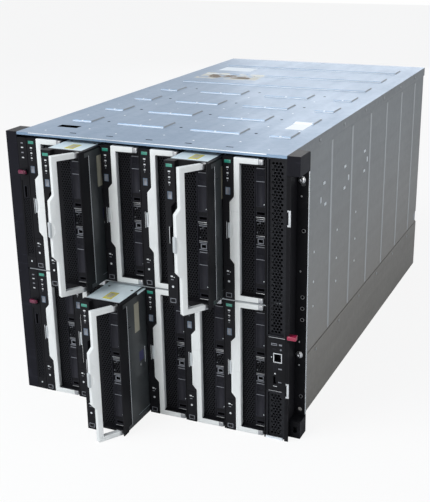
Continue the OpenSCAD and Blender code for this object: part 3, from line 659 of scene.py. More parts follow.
def model_honeycomb(name, left, foot, columns, pairs, pitch, web, depth, front):
    """A honeycomb sheet: one hexagonal cell sunk and doubled, arrayed, merged and closed."""
    radius = pitch / math.sqrt(3)
    clear_selection()
    bpy.ops.mesh.primitive_circle_add(
        vertices=6, radius=radius * MM, fill_type="NGON", rotation=(math.pi / 2, 0, 0),
        location=Vector((left + pitch / 2, front, foot + radius)) * MM)
    sheet = paint(settle(name), FINISH["mesh"], FINISH["dark"])
    edit(sheet)
    bpy.ops.mesh.select_all(action="SELECT")
    bpy.ops.mesh.inset(thickness=web / 2 * MM)
    bpy.ops.mesh.extrude_region_move(TRANSFORM_OT_translate={"value": (0, depth * MM, 0)})
    # The sunk cell floors take the near-black finish, painted shade inside the cells
    sheet.active_material_index = 1
    bpy.ops.object.material_slot_assign()
    bpy.ops.mesh.select_all(action="SELECT")
    bpy.ops.mesh.duplicate_move(
        TRANSFORM_OT_translate={"value": (pitch / 2 * MM, 0, 1.5 * radius * MM)})
    close(sheet)
    for count, offset in ((columns, (pitch, 0, 0)), (pairs, (0, 0, 3 * radius))):
        rows = sheet.modifiers.new("rows", "ARRAY")
        rows.count = count
        rows.use_relative_offset = False
        rows.use_constant_offset = True
        rows.constant_offset_displace = Vector(offset) * MM
        rows.use_merge_vertices = True
        rows.merge_threshold = 0.01 * MM
        bpy.ops.object.modifier_apply(modifier="rows")
    edit(sheet)
    bpy.ops.mesh.select_mode(type="VERT")
    bpy.ops.mesh.select_all(action="SELECT")
    bpy.ops.mesh.remove_doubles(threshold=0.02 * MM)
    bpy.ops.mesh.select_mode(type="EDGE")
    bpy.ops.mesh.select_all(action="DESELECT")
    bpy.ops.mesh.select_non_manifold()
    bpy.ops.mesh.extrude_region_move(TRANSFORM_OT_translate={"value": (0, depth * MM, 0)})
    return close(sheet)


def sunk_panel(name, low, high, rim, sink, outer, inner, round_by=0.25, way="front"):
    """A framed panel: a rounded block whose front face is inset and pushed in."""
    panel = paint(add_block(name, low, high), FINISH[outer], FINISH[inner])
    soften(panel, round_by)
    normal = {"front": Vector((0, -1, 0)), "back": Vector((0, 1, 0)), "side": Vector((1, 0, 0)),
              "top": Vector((0, 0, 1))}[way]
    edit(panel)
    pick(panel, lambda at, facing: facing.dot(normal) > 0.99)
    bpy.ops.mesh.inset(thickness=rim * MM)
    bpy.ops.mesh.extrude_region_move(TRANSFORM_OT_translate={"value": tuple(-sink * MM * normal)})
    panel.active_material_index = 1
    bpy.ops.object.material_slot_assign()
    return close(panel)


def model_drive_front(foot):
    """Front of a drive carrier: panel with two lines, notch, bright pull edge, crest and lamp."""
    left = DRIVE_LEFT
    parts = [
        sunk_panel("drive", (left + 0.5, 6.4, foot + 15.5), (left + 15.8, 7.4, foot + 70.5),
                   1.0, 0.35, "drive", "drive"),
        sunk_panel("notch", (left + 0.9, 6.6, foot + 3.0), (left + 15.4, 7.4, foot + 9.5),
                   0.9, 0.5, "drive", "dark"),
        block_in("grey", 0.2, "line", (left + 0.9, 6.2, foot + 52.4), (left + 15.4, 7.4, foot + 53.2)),
        block_in("mesh", 0.2, "line", (left + 0.9, 6.3, foot + 60.0), (left + 15.4, 7.4, foot + 60.6)),
        block_in("pin", 0.3, "pull", (left + 0.4, 5.6, foot + 0.2), (left + 15.9, 7.4, foot + 1.3)),
        block_in("grey", 0.3, "crest", (left + 1.5, 6.2, foot + 71.2), (left + 14.8, 7.4, foot + 72.2)),
        disc_in("lamp", 0.2, "lamp", (left + 13.3, 6.35, foot + 20.0), 0.8, 0.7),
    ]
    return join(parts, "drive_front")


def model_drive_bay():
    """Everything right of the vent: rib, two drive fronts and the ports between them."""
    upper = FACE_H - 13 - 73
    parts = [
        block_in("drive", 0.3, "rib", (45.7, 6.4, 10.4), (46.9, 9.95, FACE_H - 10.4)),
        model_drive_front(13.0),
        model_drive_front(upper),
        sunk_panel("port", (50.2, 7.8, 89.4), (59.4, 9.95, 96.6), 0.6, 1.6, "grey", "dark"),
        sunk_panel("slot", (60.6, 7.9, 90.0), (63.0, 9.95, 96.0), 0.5, 1.2, "drive", "dark"),
        model_honeycomb("vent", 47.8, 103.0, 3, 3, 4.2, 0.9, 1.0, 8.8),
    ]
    for foot, finish in ((125.6, "pin"), (100.4, "pin"), (98.0, "grey"), (122.8, "grey"), (87.3, "grey")):
        parts.append(block_in(finish, 0.2, "edge", (47.8, 7.4, foot), (63.4, 9.95, foot + 0.8)))
    for place in ((50.5, 8.3, 118.8), (54.0, 8.3, 120.4), (61.8, 8.3, 119.6), (49.6, 8.3, 106.0)):
        parts.append(paint(add_disc("lamp", place, 0.7, 1.0, sides=12), FINISH["grey"]))
    return join(parts, "drive_bay")


def model_strip_marks():
    """Control strip: status lens, small lamps, plain label, power button and catch."""
    parts = [
        block_in("lens", 0.6, "lens", (3.0, -0.4, FACE_H - 8.9), (12.8, 0.3, FACE_H - 4.3), segments=3),
        sunk_panel("label", (4.4, -0.25, 159.6), (11.6, 0.2, 170.6), 0.7, 0.12, "blue", "grey"),
        sunk_panel("foot_label", (3.4, -0.2, 3.2), (12.6, 0.2, 10.2), 0.6, 0.1, "grey", "bezel"),
        block_in("white", 0.2, "catch", (5.2, -0.2, 93.8), (6.0, 0.8, 119.2)),
        block_in("white", 0.3, "mark", (5.0, -0.2, 43.0), (8.6, 0.2, 45.2)),
        block_in("white", 0.2, "mark", (9.6, -0.2, 42.6), (11.4, 0.2, 43.6)),
        block_in("grey", 0.3, "mark", (5.4, -0.2, 38.6), (9.4, 0.2, 39.8)),
        disc_in("drive", 0.25, "button_ring", (8.4, -0.1, 28.4), 2.7, 0.8, sides=28),
        disc_in("white", 0.25, "button", (8.4, -0.35, 28.4), 1.7, 0.7, sides=24),
        block_in("dark", 0.08, "seam", (1.2, -0.1, 52.0), (15.2, 0.1, 52.35)),
    ]
    for height, width in ((199.4, 1.9), (191.2, 1.6), (183.4, 1.5)):
        parts.append(block_in("white", 0.4, "mark", (7.8 - width, -0.25, height - 1.0),
                              (7.8 + width, 0.2, height + 1.0)))
        parts.append(disc_in("grey", 0.15, "lamp", (7.8, -0.1, height - 3.4), 0.8, 0.6, sides=14))
    return join(parts, "strip_marks")


def model_lever():
    """Ejector handle: a bar cut into stretches, its grip drawn out and its arms extruded."""
    lever = add_block("lever", (BAR_LEFT, 0, 0), (BAR_RIGHT, BAR_DEEP, FACE_H))
    edit(lever)
    for height in (ARM_HIGH, GRIP_LOW - GRIP_SLOPE, GRIP_LOW, GRIP_HIGH, GRIP_HIGH + GRIP_SLOPE,
                   FACE_H - ARM_HIGH):
        cut((0, 0, height), (0, 0, 1))
    pick(lever, lambda at, facing: at.x < BAR_LEFT + 0.1 and GRIP_LOW - 0.1 < at.z < GRIP_HIGH + 0.1,
         "verts")
    bpy.ops.transform.translate(value=(-GRIP_REACH * MM, 0, 0))
    pick(lever, lambda at, facing: facing.x > 0.9 and not ARM_HIGH + 0.1 < at.z < FACE_H - ARM_HIGH - 0.1)
    bpy.ops.mesh.extrude_region_move(TRANSFORM_OT_translate={"value": (ARM_REACH * MM, 0, 0)})
    pick(lever, lambda at, facing: at.x > BAR_RIGHT + ARM_REACH - 0.1 and at.y < 0.1, "verts")
    bpy.ops.transform.translate(value=(0, 1.0 * MM, 0))
    close(lever)
    soften(lever, 0.9, 3)
    clear_selection()
    bpy.ops.mesh.primitive_uv_sphere_add(segments=48, ring_count=24, radius=1,
                                         location=Vector((9.6, -0.6, 106.5)) * MM)
    bpy.context.object.scale = Vector((6.6, 2.2, 11.8)) * MM
    carve(lever, settle("dish"))
    bpy.ops.object.shade_smooth_by_angle(angle=math.radians(35))
    return paint(lever, FINISH["handle"])


def model_thumb():
    """Thumb latch: a rounded bar beside the grip with a lip in the dish."""
    bar = soften(add_block("thumb", (6.9, 0.1, 95.1), (10.3, 6.3, 117.9)), 0.8, 3)
    lip = soften(add_block("lip", (9.6, 1.6, 96.6), (12.4, 2.6, 116.4)), 0.4)
    return paint(join([bar, lip], "thumb"), FINISH["thumb"])


def model_knuckles():
    """Steel ends of the handle's arms: a short bar with a round eye."""
    parts = []
    for foot in (0.15, FACE_H - 8.05):
        parts.append(soften(add_block("bar", (53.4, 1.25, foot), (58.0, 8.2, foot + 7.9)), 0.4))
        clear_selection()
        bpy.ops.mesh.primitive_cylinder_add(
            vertices=32, radius=4.1 * MM, depth=7.9 * MM,
            location=Vector((PIVOT[0], PIVOT[1], foot + 3.95)) * MM)
        parts.append(soften(settle("eye"), 0.5))
    return paint(join(parts, "knuckles"), FINISH["pin"])


def model_case_trim():
    """Labels and folds of a blade's case: plain stickers, a band, creases, a stud and a bright lip."""
    top = FACE_H - 1.0
    side = CASE_SIDE
    parts = [
        block_in("yellow", 0.1, "sticker", (25.0, 24.0, top - 0.1), (40.0, 50.0, top + 0.2)),
        block_in("cream", 0.1, "sticker_core", (28.0, 29.0, top), (37.0, 45.0, top + 0.3)),
        paint(add_block("side_label", (side - 0.75, 40.7, 152.0), (side - 0.45, 63.0, 200.5)),
              FINISH["cream"]),
        paint(add_block("side_band", (side - 0.3, 14.0, 8.0), (side + 0.15, 25.4, 204.0)), FINISH["bezel"]),
        paint(add_block("violet_label", (side - 0.7, 59.0, 100.0), (side - 0.45, 72.0, 116.0)),
              FINISH["violet"]),
        disc_in("pin", 0.2, "stud", (side - 0.5, 62.8, 93.5), 2.2, 0.8, "side"),
        block_in("bright", 0.15, "crease", (side - 0.3, 26.6, 6.0), (side + 0.2, 27.4, 205.0)),
        block_in("bright", 0.15, "crease", (side - 0.5, 75.6, 92.0), (side + 0.1, 76.4, 119.0)),
        block_in("bright", 0.1, "lip", (2.0, 14.0, top - 0.2), (58.0, 17.5, top + 0.25)),
    ]
    for x in (8.0, 12.5, 20.0, 26.0, 33.0, 41.0, 46.5, 52.0):
        parts.append(block_in("dark", 0.1, "tab", (x, 10.4, top - 0.1), (x + 2.6, 13.6, top + 0.3)))
    for x, y in ((10, 70), (52, 66), (33, 96), (12, 120), (50, 128)):
        parts.append(paint(add_disc("hole", (x, y, top + 0.05), 2.0, 0.16, "top", 16), FINISH["dark"]))
    return join(parts, "case_trim")


def dress_blades():
    """All the small parts of the twelve blades."""
    copy_to_blades(model_honeycomb("vent", 26.6, 12.3, 4, 26, 4.2, 0.95, 1.05, 8.8), "vent")
    copy_to_blades(model_drive_bay(), "drive_bay")
    copy_to_blades(model_strip_marks(), "strip_marks")
    copy_to_blades(model_case_trim(), "case_trim")
    copy_to_blades(model_lever(), "lever", "handle")
    copy_to_blades(model_thumb(), "thumb", "handle")
    copy_to_blades(model_knuckles(), "knuckles", "handle")
    for number in BLADES:
        bezel = frame["nodes"][f"blade_{number}_bezel"]
        bezel.data.materials[0] = FINISH["bezel"]


# The body


PAD_FRONTS = (100, 202, 304, 406)
PAD_EDGES = ((-183, 34), (-100, 81), (28, 81), (157, 33))
RIDGE_FRONTS = (508, 618, 728)


def cover_place(x, q):
    """A place on the cover in millimetres, q measured from the front plane."""
    return (x, FRONT / MM + q, TOP / MM)


def dress_cover():
    """Dimples, holes, slots, spot welds, and bright strips of painted highlight along the front lip, pads
    and ridges of the top cover.
    """
    dimple = disc_in("bright", 0.3, "dimple", (0, 0, 0.15), 1.9, 0.7, "top", 18)
    spots = [cover_place(x, q + 2.5) for q in PAD_FRONTS for x in (-166, -59.5, 68.5, 173.5)]
    spots = [(x, y, z + 1.4) for x, y, z in spots]
    fix(repeat(dimple, spots, "cover_dimples"), "chassis")
    weld = disc_in("bright", 0.12, "weld", (0, 0, 0.02), 1.6, 0.3, "top", 16)
    places = [cover_place(x, q) for q in (57, 167, 277, 387) for x in (-125, 5, 129)]
    places += [cover_place(x, q) for q in (150, 250, 352, 452) for x in (-185, -69, 61, 186)]
    places += [cover_place(x, q) for x, q in ((-184, 24), (-68, 40), (62, 40), (186, 24))]
    fix(repeat(weld, places, "cover_welds"), "chassis")
    # Holes and slots are near-black discs and blocks, painted shade inside them
    hole = paint(add_disc("hole", (0, 0, 0.03), 2.4, 0.12, "top", 18), FINISH["dark"])
    places = [cover_place(x, q) for q in (115, 223, 331, 441) for x in (-124.5, 4.5, 130)]
    fix(repeat(hole, places, "cover_holes"), "chassis")
    slot = paint(add_block("slot", (-5.5, -1.4, -0.02), (5.5, 1.4, 0.1)), FINISH["dark"])
    places = [cover_place(x, 21) for x in (-132, -68, -1, 63, 128)]
    fix(repeat(slot, places, "cover_slots"), "chassis")
    wide = block_in("dark", 0.03, "wide_slot", cover_place(-183, 54),
                    Vector(cover_place(-147, 69)) + Vector((0, 0, 0.08)))
    fix(wide, "chassis")
    # Bright strips of painted highlight along the cover's front lip and the front edges of the pads and
    # ridges
    edges = [((-200, -0.05, -1.3), (192, 0.5, 0.05))]
    edges += [((x, q - 1.2, -0.2), (x + width, q + 2.4, 0.9)) for q in PAD_FRONTS for x, width in PAD_EDGES]
    edges += [((-186, q - 1.2, -0.2), (186, q + 2.2, 0.9)) for q in RIDGE_FRONTS]
    lines = []
    for low, high in edges:
        lines.append(soften(add_block("edge", Vector(cover_place(low[0], low[1])) + Vector((0, 0, low[2])),
                                      Vector(cover_place(high[0], high[1])) + Vector((0, 0, high[2]))),
                                      0.25))
    fix(paint(join(lines, "cover_highlight_strips"), FINISH["bright"]), "chassis")


def dress_sides():
    """Rivets, lanced tabs and hooks on both side panels."""
    side = SIDE / MM
    front = FRONT / MM
    sheet = side - 1.3
    for sign, name in ((1, "right"), (-1, "left")):
        rivet = disc_in("bright", 0.35, "rivet", (0, 0, 0), 2.0, 1.0, "side", 16)
        places = [(sign * (sheet + 0.3), front + q, z)
                  for q in (127, 244, 351) for z in (261, 212, 171)]
        fix(repeat(rivet, places, f"side_rivets_{name}"), "chassis")
        tab = block_in("bright", 0.3, "tab", (-0.5, -4.5, -2.2), (0.5, 4.5, 2.2))
        places = [(sign * (sheet + 0.35), front + q, z)
                  for q, z in ((170, 359.5), (177, 324), (279, 359.5), (278, 323.5), (395, 359.5),
                               (395, 324))]
        fix(repeat(tab, places, f"side_tabs_{name}"), "chassis")
        hook = block_in("bright", 0.3, "hook", (-0.5, -2.0, -4.5), (0.5, 2.0, 4.5))
        places = [(sign * (sheet + 0.35), front + q, z) for q, z in ((154, 336), (300, 336), (412, 341))]
        fix(repeat(hook, places, f"side_hooks_{name}"), "chassis")


def model_screw(radius, height, socket):
    """A socket screw seen along -Y: a rounded head with a hexagonal pocket and a washer."""
    head = disc_in("chrome", 0.5, "screw", (0, -height / 2, 0), radius, height, "front", 28, segments=3)
    clear_selection()
    bpy.ops.mesh.primitive_cylinder_add(vertices=6, radius=socket * MM, depth=3 * MM,
                                        location=(0, -height * MM, 0), rotation=(math.pi / 2, 0, 0))
    carve(head, settle("pocket"))
    washer = disc_in("pin", 0.2, "washer", (0, -0.35, 0), radius + 1.3, 0.7, "front", 32)
    return join([head, washer], "screw")


def dress_screws():
    """Screws in the ears and the small heads along flanges and skirts."""
    face = EAR_FACE / MM
    x = SIDE / MM
    large = repeat(model_screw(4.2, 2.8, 2.1), [(x + 9, face - 0.1, 129), (x + 9, face - 0.1, 399)],
                   "ear_screws")
    fix(large, "chassis")
    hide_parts("body_screws")
    for sign, name in ((1, "right"), (-1, "left")):
        head = disc_in("pin", 0.35, "head", (sign * 0.5, 0, 0), 2.7, 1.0, "side", 20, segments=3)
        places = [(sign * x, FRONT / MM + 142 + k * 122.1, z) for k in range(6) for z in (91,
                                                                                          TOP / MM - 8.25)]
        fix(repeat(head, places, f"flange_screws_{name}"), "chassis")


def model_ring(radius, width):
    """A thin raised ring seen along -Y, turned from a disc by inset faces."""
    ring = add_disc("ring", (0, -0.2, 0), radius, 0.5, "front", 28)
    paint(ring, FINISH["pin"], FINISH["dark"])
    edit(ring)
    pick(ring, lambda at, facing: facing.y < -0.9)
    bpy.ops.mesh.inset(thickness=width * MM)
    bpy.ops.mesh.extrude_region_move(TRANSFORM_OT_translate={"value": (0, 0.3 * MM, 0)})
    ring.active_material_index = 1
    bpy.ops.object.material_slot_assign()
    return close(ring)


def dress_ears():
    """Ringed holes, studs, bright edges and pale marks of the rack ears."""
    face = EAR_FACE / MM
    front = FRONT / MM
    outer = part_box("rack_ear_right")[1].x / MM
    rings = [(234, face, z) for z in (324, 222, 204, 186, 60)]
    fix(repeat(model_ring(3.0, 0.8), rings, "ear_rings"), "chassis")
    stud = disc_in("pin", 0.3, "stud", (0, -0.4, 0), 1.5, 0.9, "front", 16)
    fix(repeat(stud, [(230, face, z) for z in (375, 262, 150, 112)], "ear_studs"), "chassis")
    edge = block_in("bright", 0.15, "edge", (outer - 0.7, face - 0.15, 30), (outer, face + 3.1, 412))
    fix(join([edge], "ear_edge"), "chassis")
    tag = [
        block_in("white", 0.3, "tag", (224.8, front - 0.35, 73), (227.9, front + 1.0, 97)),
        block_in("white", 0.3, "tag", (223.2, front - 0.35, 73), (226.6, front + 0.6, 75.6)),
        block_in("white", 0.3, "tag", (223.2, front - 0.35, 94.4), (226.6, front + 0.6, 97)),
    ]
    low = join(tag, "edge_tag_low")
    high = copied(low, "edge_tag_high", Vector((0, 0, 267)) * MM)
    fix(low, "chassis")
    fix(high, "chassis")


def dress_port_panel():
    """Socket rims, contacts, buttons, slots and seams of the port panel."""
    front = FRONT / MM + 1.5
    parts = [
        block_in("pin", 0.2, "seam", (195.5, front - 0.3, 167.6), (221.0, front + 0.4, 168.4)),
        block_in("pin", 0.2, "seam", (195.5, front - 0.3, 80.4), (216.5, front + 0.4, 81.2)),
        sunk_panel("button", (199.6, front - 0.7, 155.4), (208.6, front + 0.4, 159.0), 0.7, 0.3, "grey",
                   "drive"),
        block_in("grey", 0.3, "mark", (211.6, front - 0.25, 155.8), (216.4, front + 0.2, 158.4)),
        disc_in("grey", 0.2, "dot", (214.6, front - 0.1, 149.6), 1.5, 0.6, "front", 18),
        block_in("drive", 0.2, "mark", (201.6, front - 0.2, 148.8), (207.4, front + 0.2, 150.2)),
        disc_in("white", 0.2, "dot", (200.2, front - 0.1, 136.0), 0.9, 0.6, "front", 14),
        block_in("grey", 0.3, "mark", (210.8, front - 0.2, 117.0), (216.4, front + 0.2, 119.2)),
        disc_in("white", 0.2, "dot", (205.8, front - 0.1, 109.6), 1.3, 0.6, "front", 18),
        block_in("grey", 0.3, "mark", (210.8, front - 0.2, 95.4), (216.0, front + 0.2, 97.0)),
        block_in("white", 0.3, "mark", (202.8, front - 0.2, 88.4), (209.0, front + 0.2, 89.4)),
        sunk_panel("slot", (203.6, front - 0.3, 113.6), (208.2, front + 0.6, 126.4), 0.8, 0.7, "drive",
                   "dark"),
    ]
    rim = paint(add_block("rim", (202.9, front - 0.5, 128.0), (216.5, front + 0.4, 143.2)), FINISH["white"])
    opening = add_block("opening", (204.2, front - 2, 129.3), (215.2, front + 2, 141.9))
    parts.append(soften(carve(rim, opening), 0.2))
    for k in range(8):
        x = 206.0 + k * 1.02
        parts.append(paint(add_block("contact", (x, front + 6, 140.9), (x + 0.4, front + 11, 141.6)),
                           FINISH["gold"]))
    tongue = block_in("drive", 0.2, "tongue", (204.6, front + 4.0, 93.4), (206.4, front + 9.5, 104.4))
    parts.append(tongue)
    fix(join(parts, "port_panel_parts"), "chassis")


def dress_latch():
    """The release tab: rounded, with a ribbed thumb face."""
    low, high = (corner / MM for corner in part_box("port_panel_latch"))
    body = soften(add_block("tab", (low.x + 1.0, low.y, low.z), (high.x, low.y + 6.9, high.z)), 0.8, 3)
    foot = soften(add_block("foot", (low.x, low.y + 3.35, low.z + 0.2),
                            (high.x - 1, high.y, high.z - 0.2)), 0.4)
    parts = [body, foot]
    for k in range(4):
        x = low.x + 4.0 + k * 2.3
        parts.append(soften(add_block("rib", (x, low.y - 0.25, low.z + 0.9),
                                      (x + 1.0, low.y + 0.6, high.z - 0.9)), 0.3))
    tab = paint(join(parts, "port_panel_tab"), FINISH["release"])
    fix(tab, "port_panel_latch")
    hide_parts("port_panel_latch")


def dress_appliances():
    """Fronts of the slim modules: plain marks, vents, a slot, a lamp and the maroon levers."""
    for row in ("upper", "lower"):
        front, foot = FRONT / MM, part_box(f"appliance_{row}")[0].z / MM
        mid = -213.1
        parts = [
            block_in(tone, 0.3, "mark", (mid - 2.0, front - 0.25, foot + z),
                     (mid + 2.0, front + 0.2, foot + z + 1.8)) for z,
                     tone in ((205, "grey"), (198, "white"), (190, "grey"), (182, "white"))
        ]
        vent = model_honeycomb("vent", mid - 6.1, foot + 24.0, 3, 16, 3.4, 0.8, 0.5, front + 0.4)
        parts.append(vent)
        parts.append(sunk_panel("slot", (mid - 3.2, front + 0.3, foot + 118),
                                (mid + 3.2, front + 1.1, foot + 138),
                                0.8, 0.5, "drive", "dark"))
        parts.append(disc_in("lamp", 0.2, "lamp", (mid, front - 0.1, foot + 12), 1.4, 0.6, "front", 18))
        fix(join(parts, f"appliance_{row}_marks"), f"appliance_{row}")
        low, high = (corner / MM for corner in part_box(f"appliance_{row}_lever"))
        lever = add_block("lever", (low.x, low.y + 0.1, low.z + 0.1),
                          (high.x - 2.0, low.y + 6.6, high.z - 0.1))
        edit(lever)
        pick(lever, lambda at, facing: at.x < low.x + 0.5 and at.y < low.y + 0.5, "verts")
        bpy.ops.transform.translate(value=(2.4 * MM, 0, 0))
        pick(lever, lambda at, facing: at.x < low.x + 3 and at.y > low.y + 3, "verts")
        bpy.ops.transform.translate(value=(0, -1.0 * MM, 0))
        close(lever)
        soften(lever, 0.6, 3)
        clear_selection()
        bpy.ops.mesh.primitive_cylinder_add(
            vertices=24, radius=2.4 * MM, depth=(high.z - low.z) * MM,
            location=Vector((high.x - 2.4, FRONT / MM - 4, (low.z + high.z) / 2)) * MM)
        eye = soften(settle("eye"), 0.3)
        tab = paint(join([lever, eye], f"appliance_{row}_tab"), FINISH["lever"])
        fix(tab, f"appliance_{row}_lever")
        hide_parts(f"appliance_{row}_lever")


# The rear


def cells(count, left, right, wall=2.0):
    """Left edges and width of equal cells in a row."""
    width = (right - left - (count + 1) * wall) / count
    return [left + wall + k * (width + wall) for k in range(count)], width


def dress_supplies():
    """Mains pins, lamps, vents and maroon catches of the power supplies."""
    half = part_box("rear_frame")[1].x / MM
    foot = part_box("rear_frame")[0].z / MM + 2
    face = BACK / MM - 12
    lefts, _ = cells(6, -half, half)
    parts = []
    x = lefts[0]
    for dx, dz in ((6, 5), (18, 5), (12, 13)):
        parts.append(block_in("chrome", 0.2, "pin", (x + 9 + dx - 1, face - 13, foot + 14 + dz - 0.6),
                              (x + 9 + dx + 1, face - 3, foot + 14 + dz + 0.8)))
    rim = paint(add_block("rim", (x + 7.4, face - 0.2, foot + 12.4), (x + 34.6, face + 1.2, foot + 35.6)),
                FINISH["drive"])
    parts.append(soften(carve(rim, add_block("opening", (x + 9.2, face - 2, foot + 14.2),
                                             (x + 32.8, face + 3, foot + 33.8))), 0.3))
    parts.append(disc_in("green_lamp", 0.2, "lamp", (x + 14, face + 0.2, foot + 44), 1.6, 0.8, "back", 18))
    parts.append(block_in("lever", 0.8, "catch", (x + 26, face - 0.1, foot + 41),
                          (x + 36, face + 4, foot + 47), segments=3))
    parts.append(rear_vent("vent", x + 5, foot + 53, 9, 3, 4.6, face))
    supply = join(parts, "supply_parts")
    places = [(left - lefts[0], 0, 0) for left in lefts]
    fix(repeat(supply, places, "supply_parts"), "chassis")


def rear_vent(name, left, foot, columns, pairs, pitch, face):
    """A honeycomb that looks to the back: the front one turned about an upright axis."""
    vent = model_honeycomb(name, -pitch * (columns + 0.5), 0, columns, pairs, pitch, 1.0, 0.5, -0.6)
    turn = Matrix.Rotation(math.pi, 4, "Z")
    vent.data.transform(Matrix.Translation(Vector((left, face, foot)) * MM) @ turn)
    return vent


def dress_fans():
    """Hub caps, blades behind the guards, lamps and maroon catches of the fan modules."""
    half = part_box("rear_frame")[1].x / MM
    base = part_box("rear_frame")[0].z / MM
    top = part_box("rear_frame")[1].z / MM
    face = BACK / MM - 12
    lefts, width = cells(5, -half, half)
    low = base + 86 + 4
    high = top - 2 - 84
    centre = Vector((lefts[0] + width / 2, face, low + 42))
    parts = [disc_in("drive", 0.5, "hub", centre + Vector((0, 0.5, 0)), 12.0, 1.4, "back", 40, segments=3)]
    for k in range(9):
        blade = soften(add_block("blade", (13.5, -1.0, -6.0), (32.5, 1.0, 6.0)), 0.5)
        edit(blade)
        bpy.ops.mesh.select_all(action="SELECT")
        bpy.ops.transform.rotate(value=math.radians(32), orient_axis="X", center_override=(0, 0, 0))
        bpy.ops.transform.rotate(value=math.radians(40 * k), orient_axis="Y", center_override=(0, 0, 0))
        bpy.ops.transform.translate(value=tuple((centre + Vector((0, -7.4, 0))) * MM))
        parts.append(paint(close(blade), FINISH["drive"]))
    parts.append(disc_in("green_lamp", 0.2, "lamp", centre + Vector((36, 0.2, -36)), 1.6, 0.8, "back", 18))
    parts.append(block_in("lever", 0.8, "catch", centre + Vector((-38, -0.1, -40)),
                          centre + Vector((-26, 5, -34)), segments=3))
    fan = join(parts, "fan_parts")
    places = [(left - lefts[0], 0, rise) for rise in (0, high - low) for left in lefts]
    fix(repeat(fan, places, "fan_parts"), "chassis")


def dress_interconnects():
    """Cage mouths, lamps and catches of the interconnect and link modules."""
    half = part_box("rear_frame")[1].x / MM
    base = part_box("rear_frame")[0].z / MM
    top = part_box("rear_frame")[1].z / MM
    face = BACK / MM - 12
    foot = base + 86 + 4 + 84 + 2
    room = (top - 2 - 84 - 2) - foot
    height = (room - 4) / 3
    width = (2 * half - 8 - 56) / 2
    cage = sunk_panel("cage", (0, face + 1.9, 0), (14, face + 3.2, 11), 1.2, 0.8, "pin", "dark", 0.2,
                      "back")
    places = []
    for row in range(3):
        for left in (-half + 2, 30.0):
            for line in (12, 31):
                places += [(left + 24 + 17 * k, 0, foot + row * (height + 2) + line) for k in range(8)]
    fix(repeat(cage, places, "cage_mouths"), "chassis")
    lamp = disc_in("green_lamp", 0.2, "lamp", (0, face + 0.2, 0), 1.0, 0.8, "back", 14)
    places = [(x + 7, 0, z + 13.5) for x, _, z in places]
    fix(repeat(lamp, places, "cage_lamps"), "chassis")
    catch = block_in("lever", 0.8, "catch", (0, face - 0.1, 0), (9, face + 5, 7), segments=3)
    places = [(left + width - 16, 0, foot + row * (height + 2) + height / 2)
              for row in range(3) for left in (-half + 2, 30.0)]
    fix(repeat(catch, places, "module_catches"), "chassis")


# The stage


CAMERA_ANGLES = (24.822, 19.544, -0.965)
CAMERA_PLACE = (0.6466, -1.5757, 0.7421)
CAMERA_LENS = 66.75
LIGHTS = (
    ("key_light", (-1.0, -1.7, 2.3), (0, -0.2, 0.3), 1.4, 50, (0.95, 0.98, 1.0)),
    ("back_light", (-0.5, 3.2, 1.0), (0.1, 0.1, 0.42), 1.7, 11, (1.0, 1.0, 1.0)),
    ("front_light", (-0.1, -2.8, 0.5), (0, -0.4, 0.2), 1.4, 19, (1.0, 0.98, 0.93)),
    ("side_light", (2.4, -0.2, 0.7), (0.2, 0, 0.2), 1.4, 13, (1.0, 0.98, 0.94)),
)


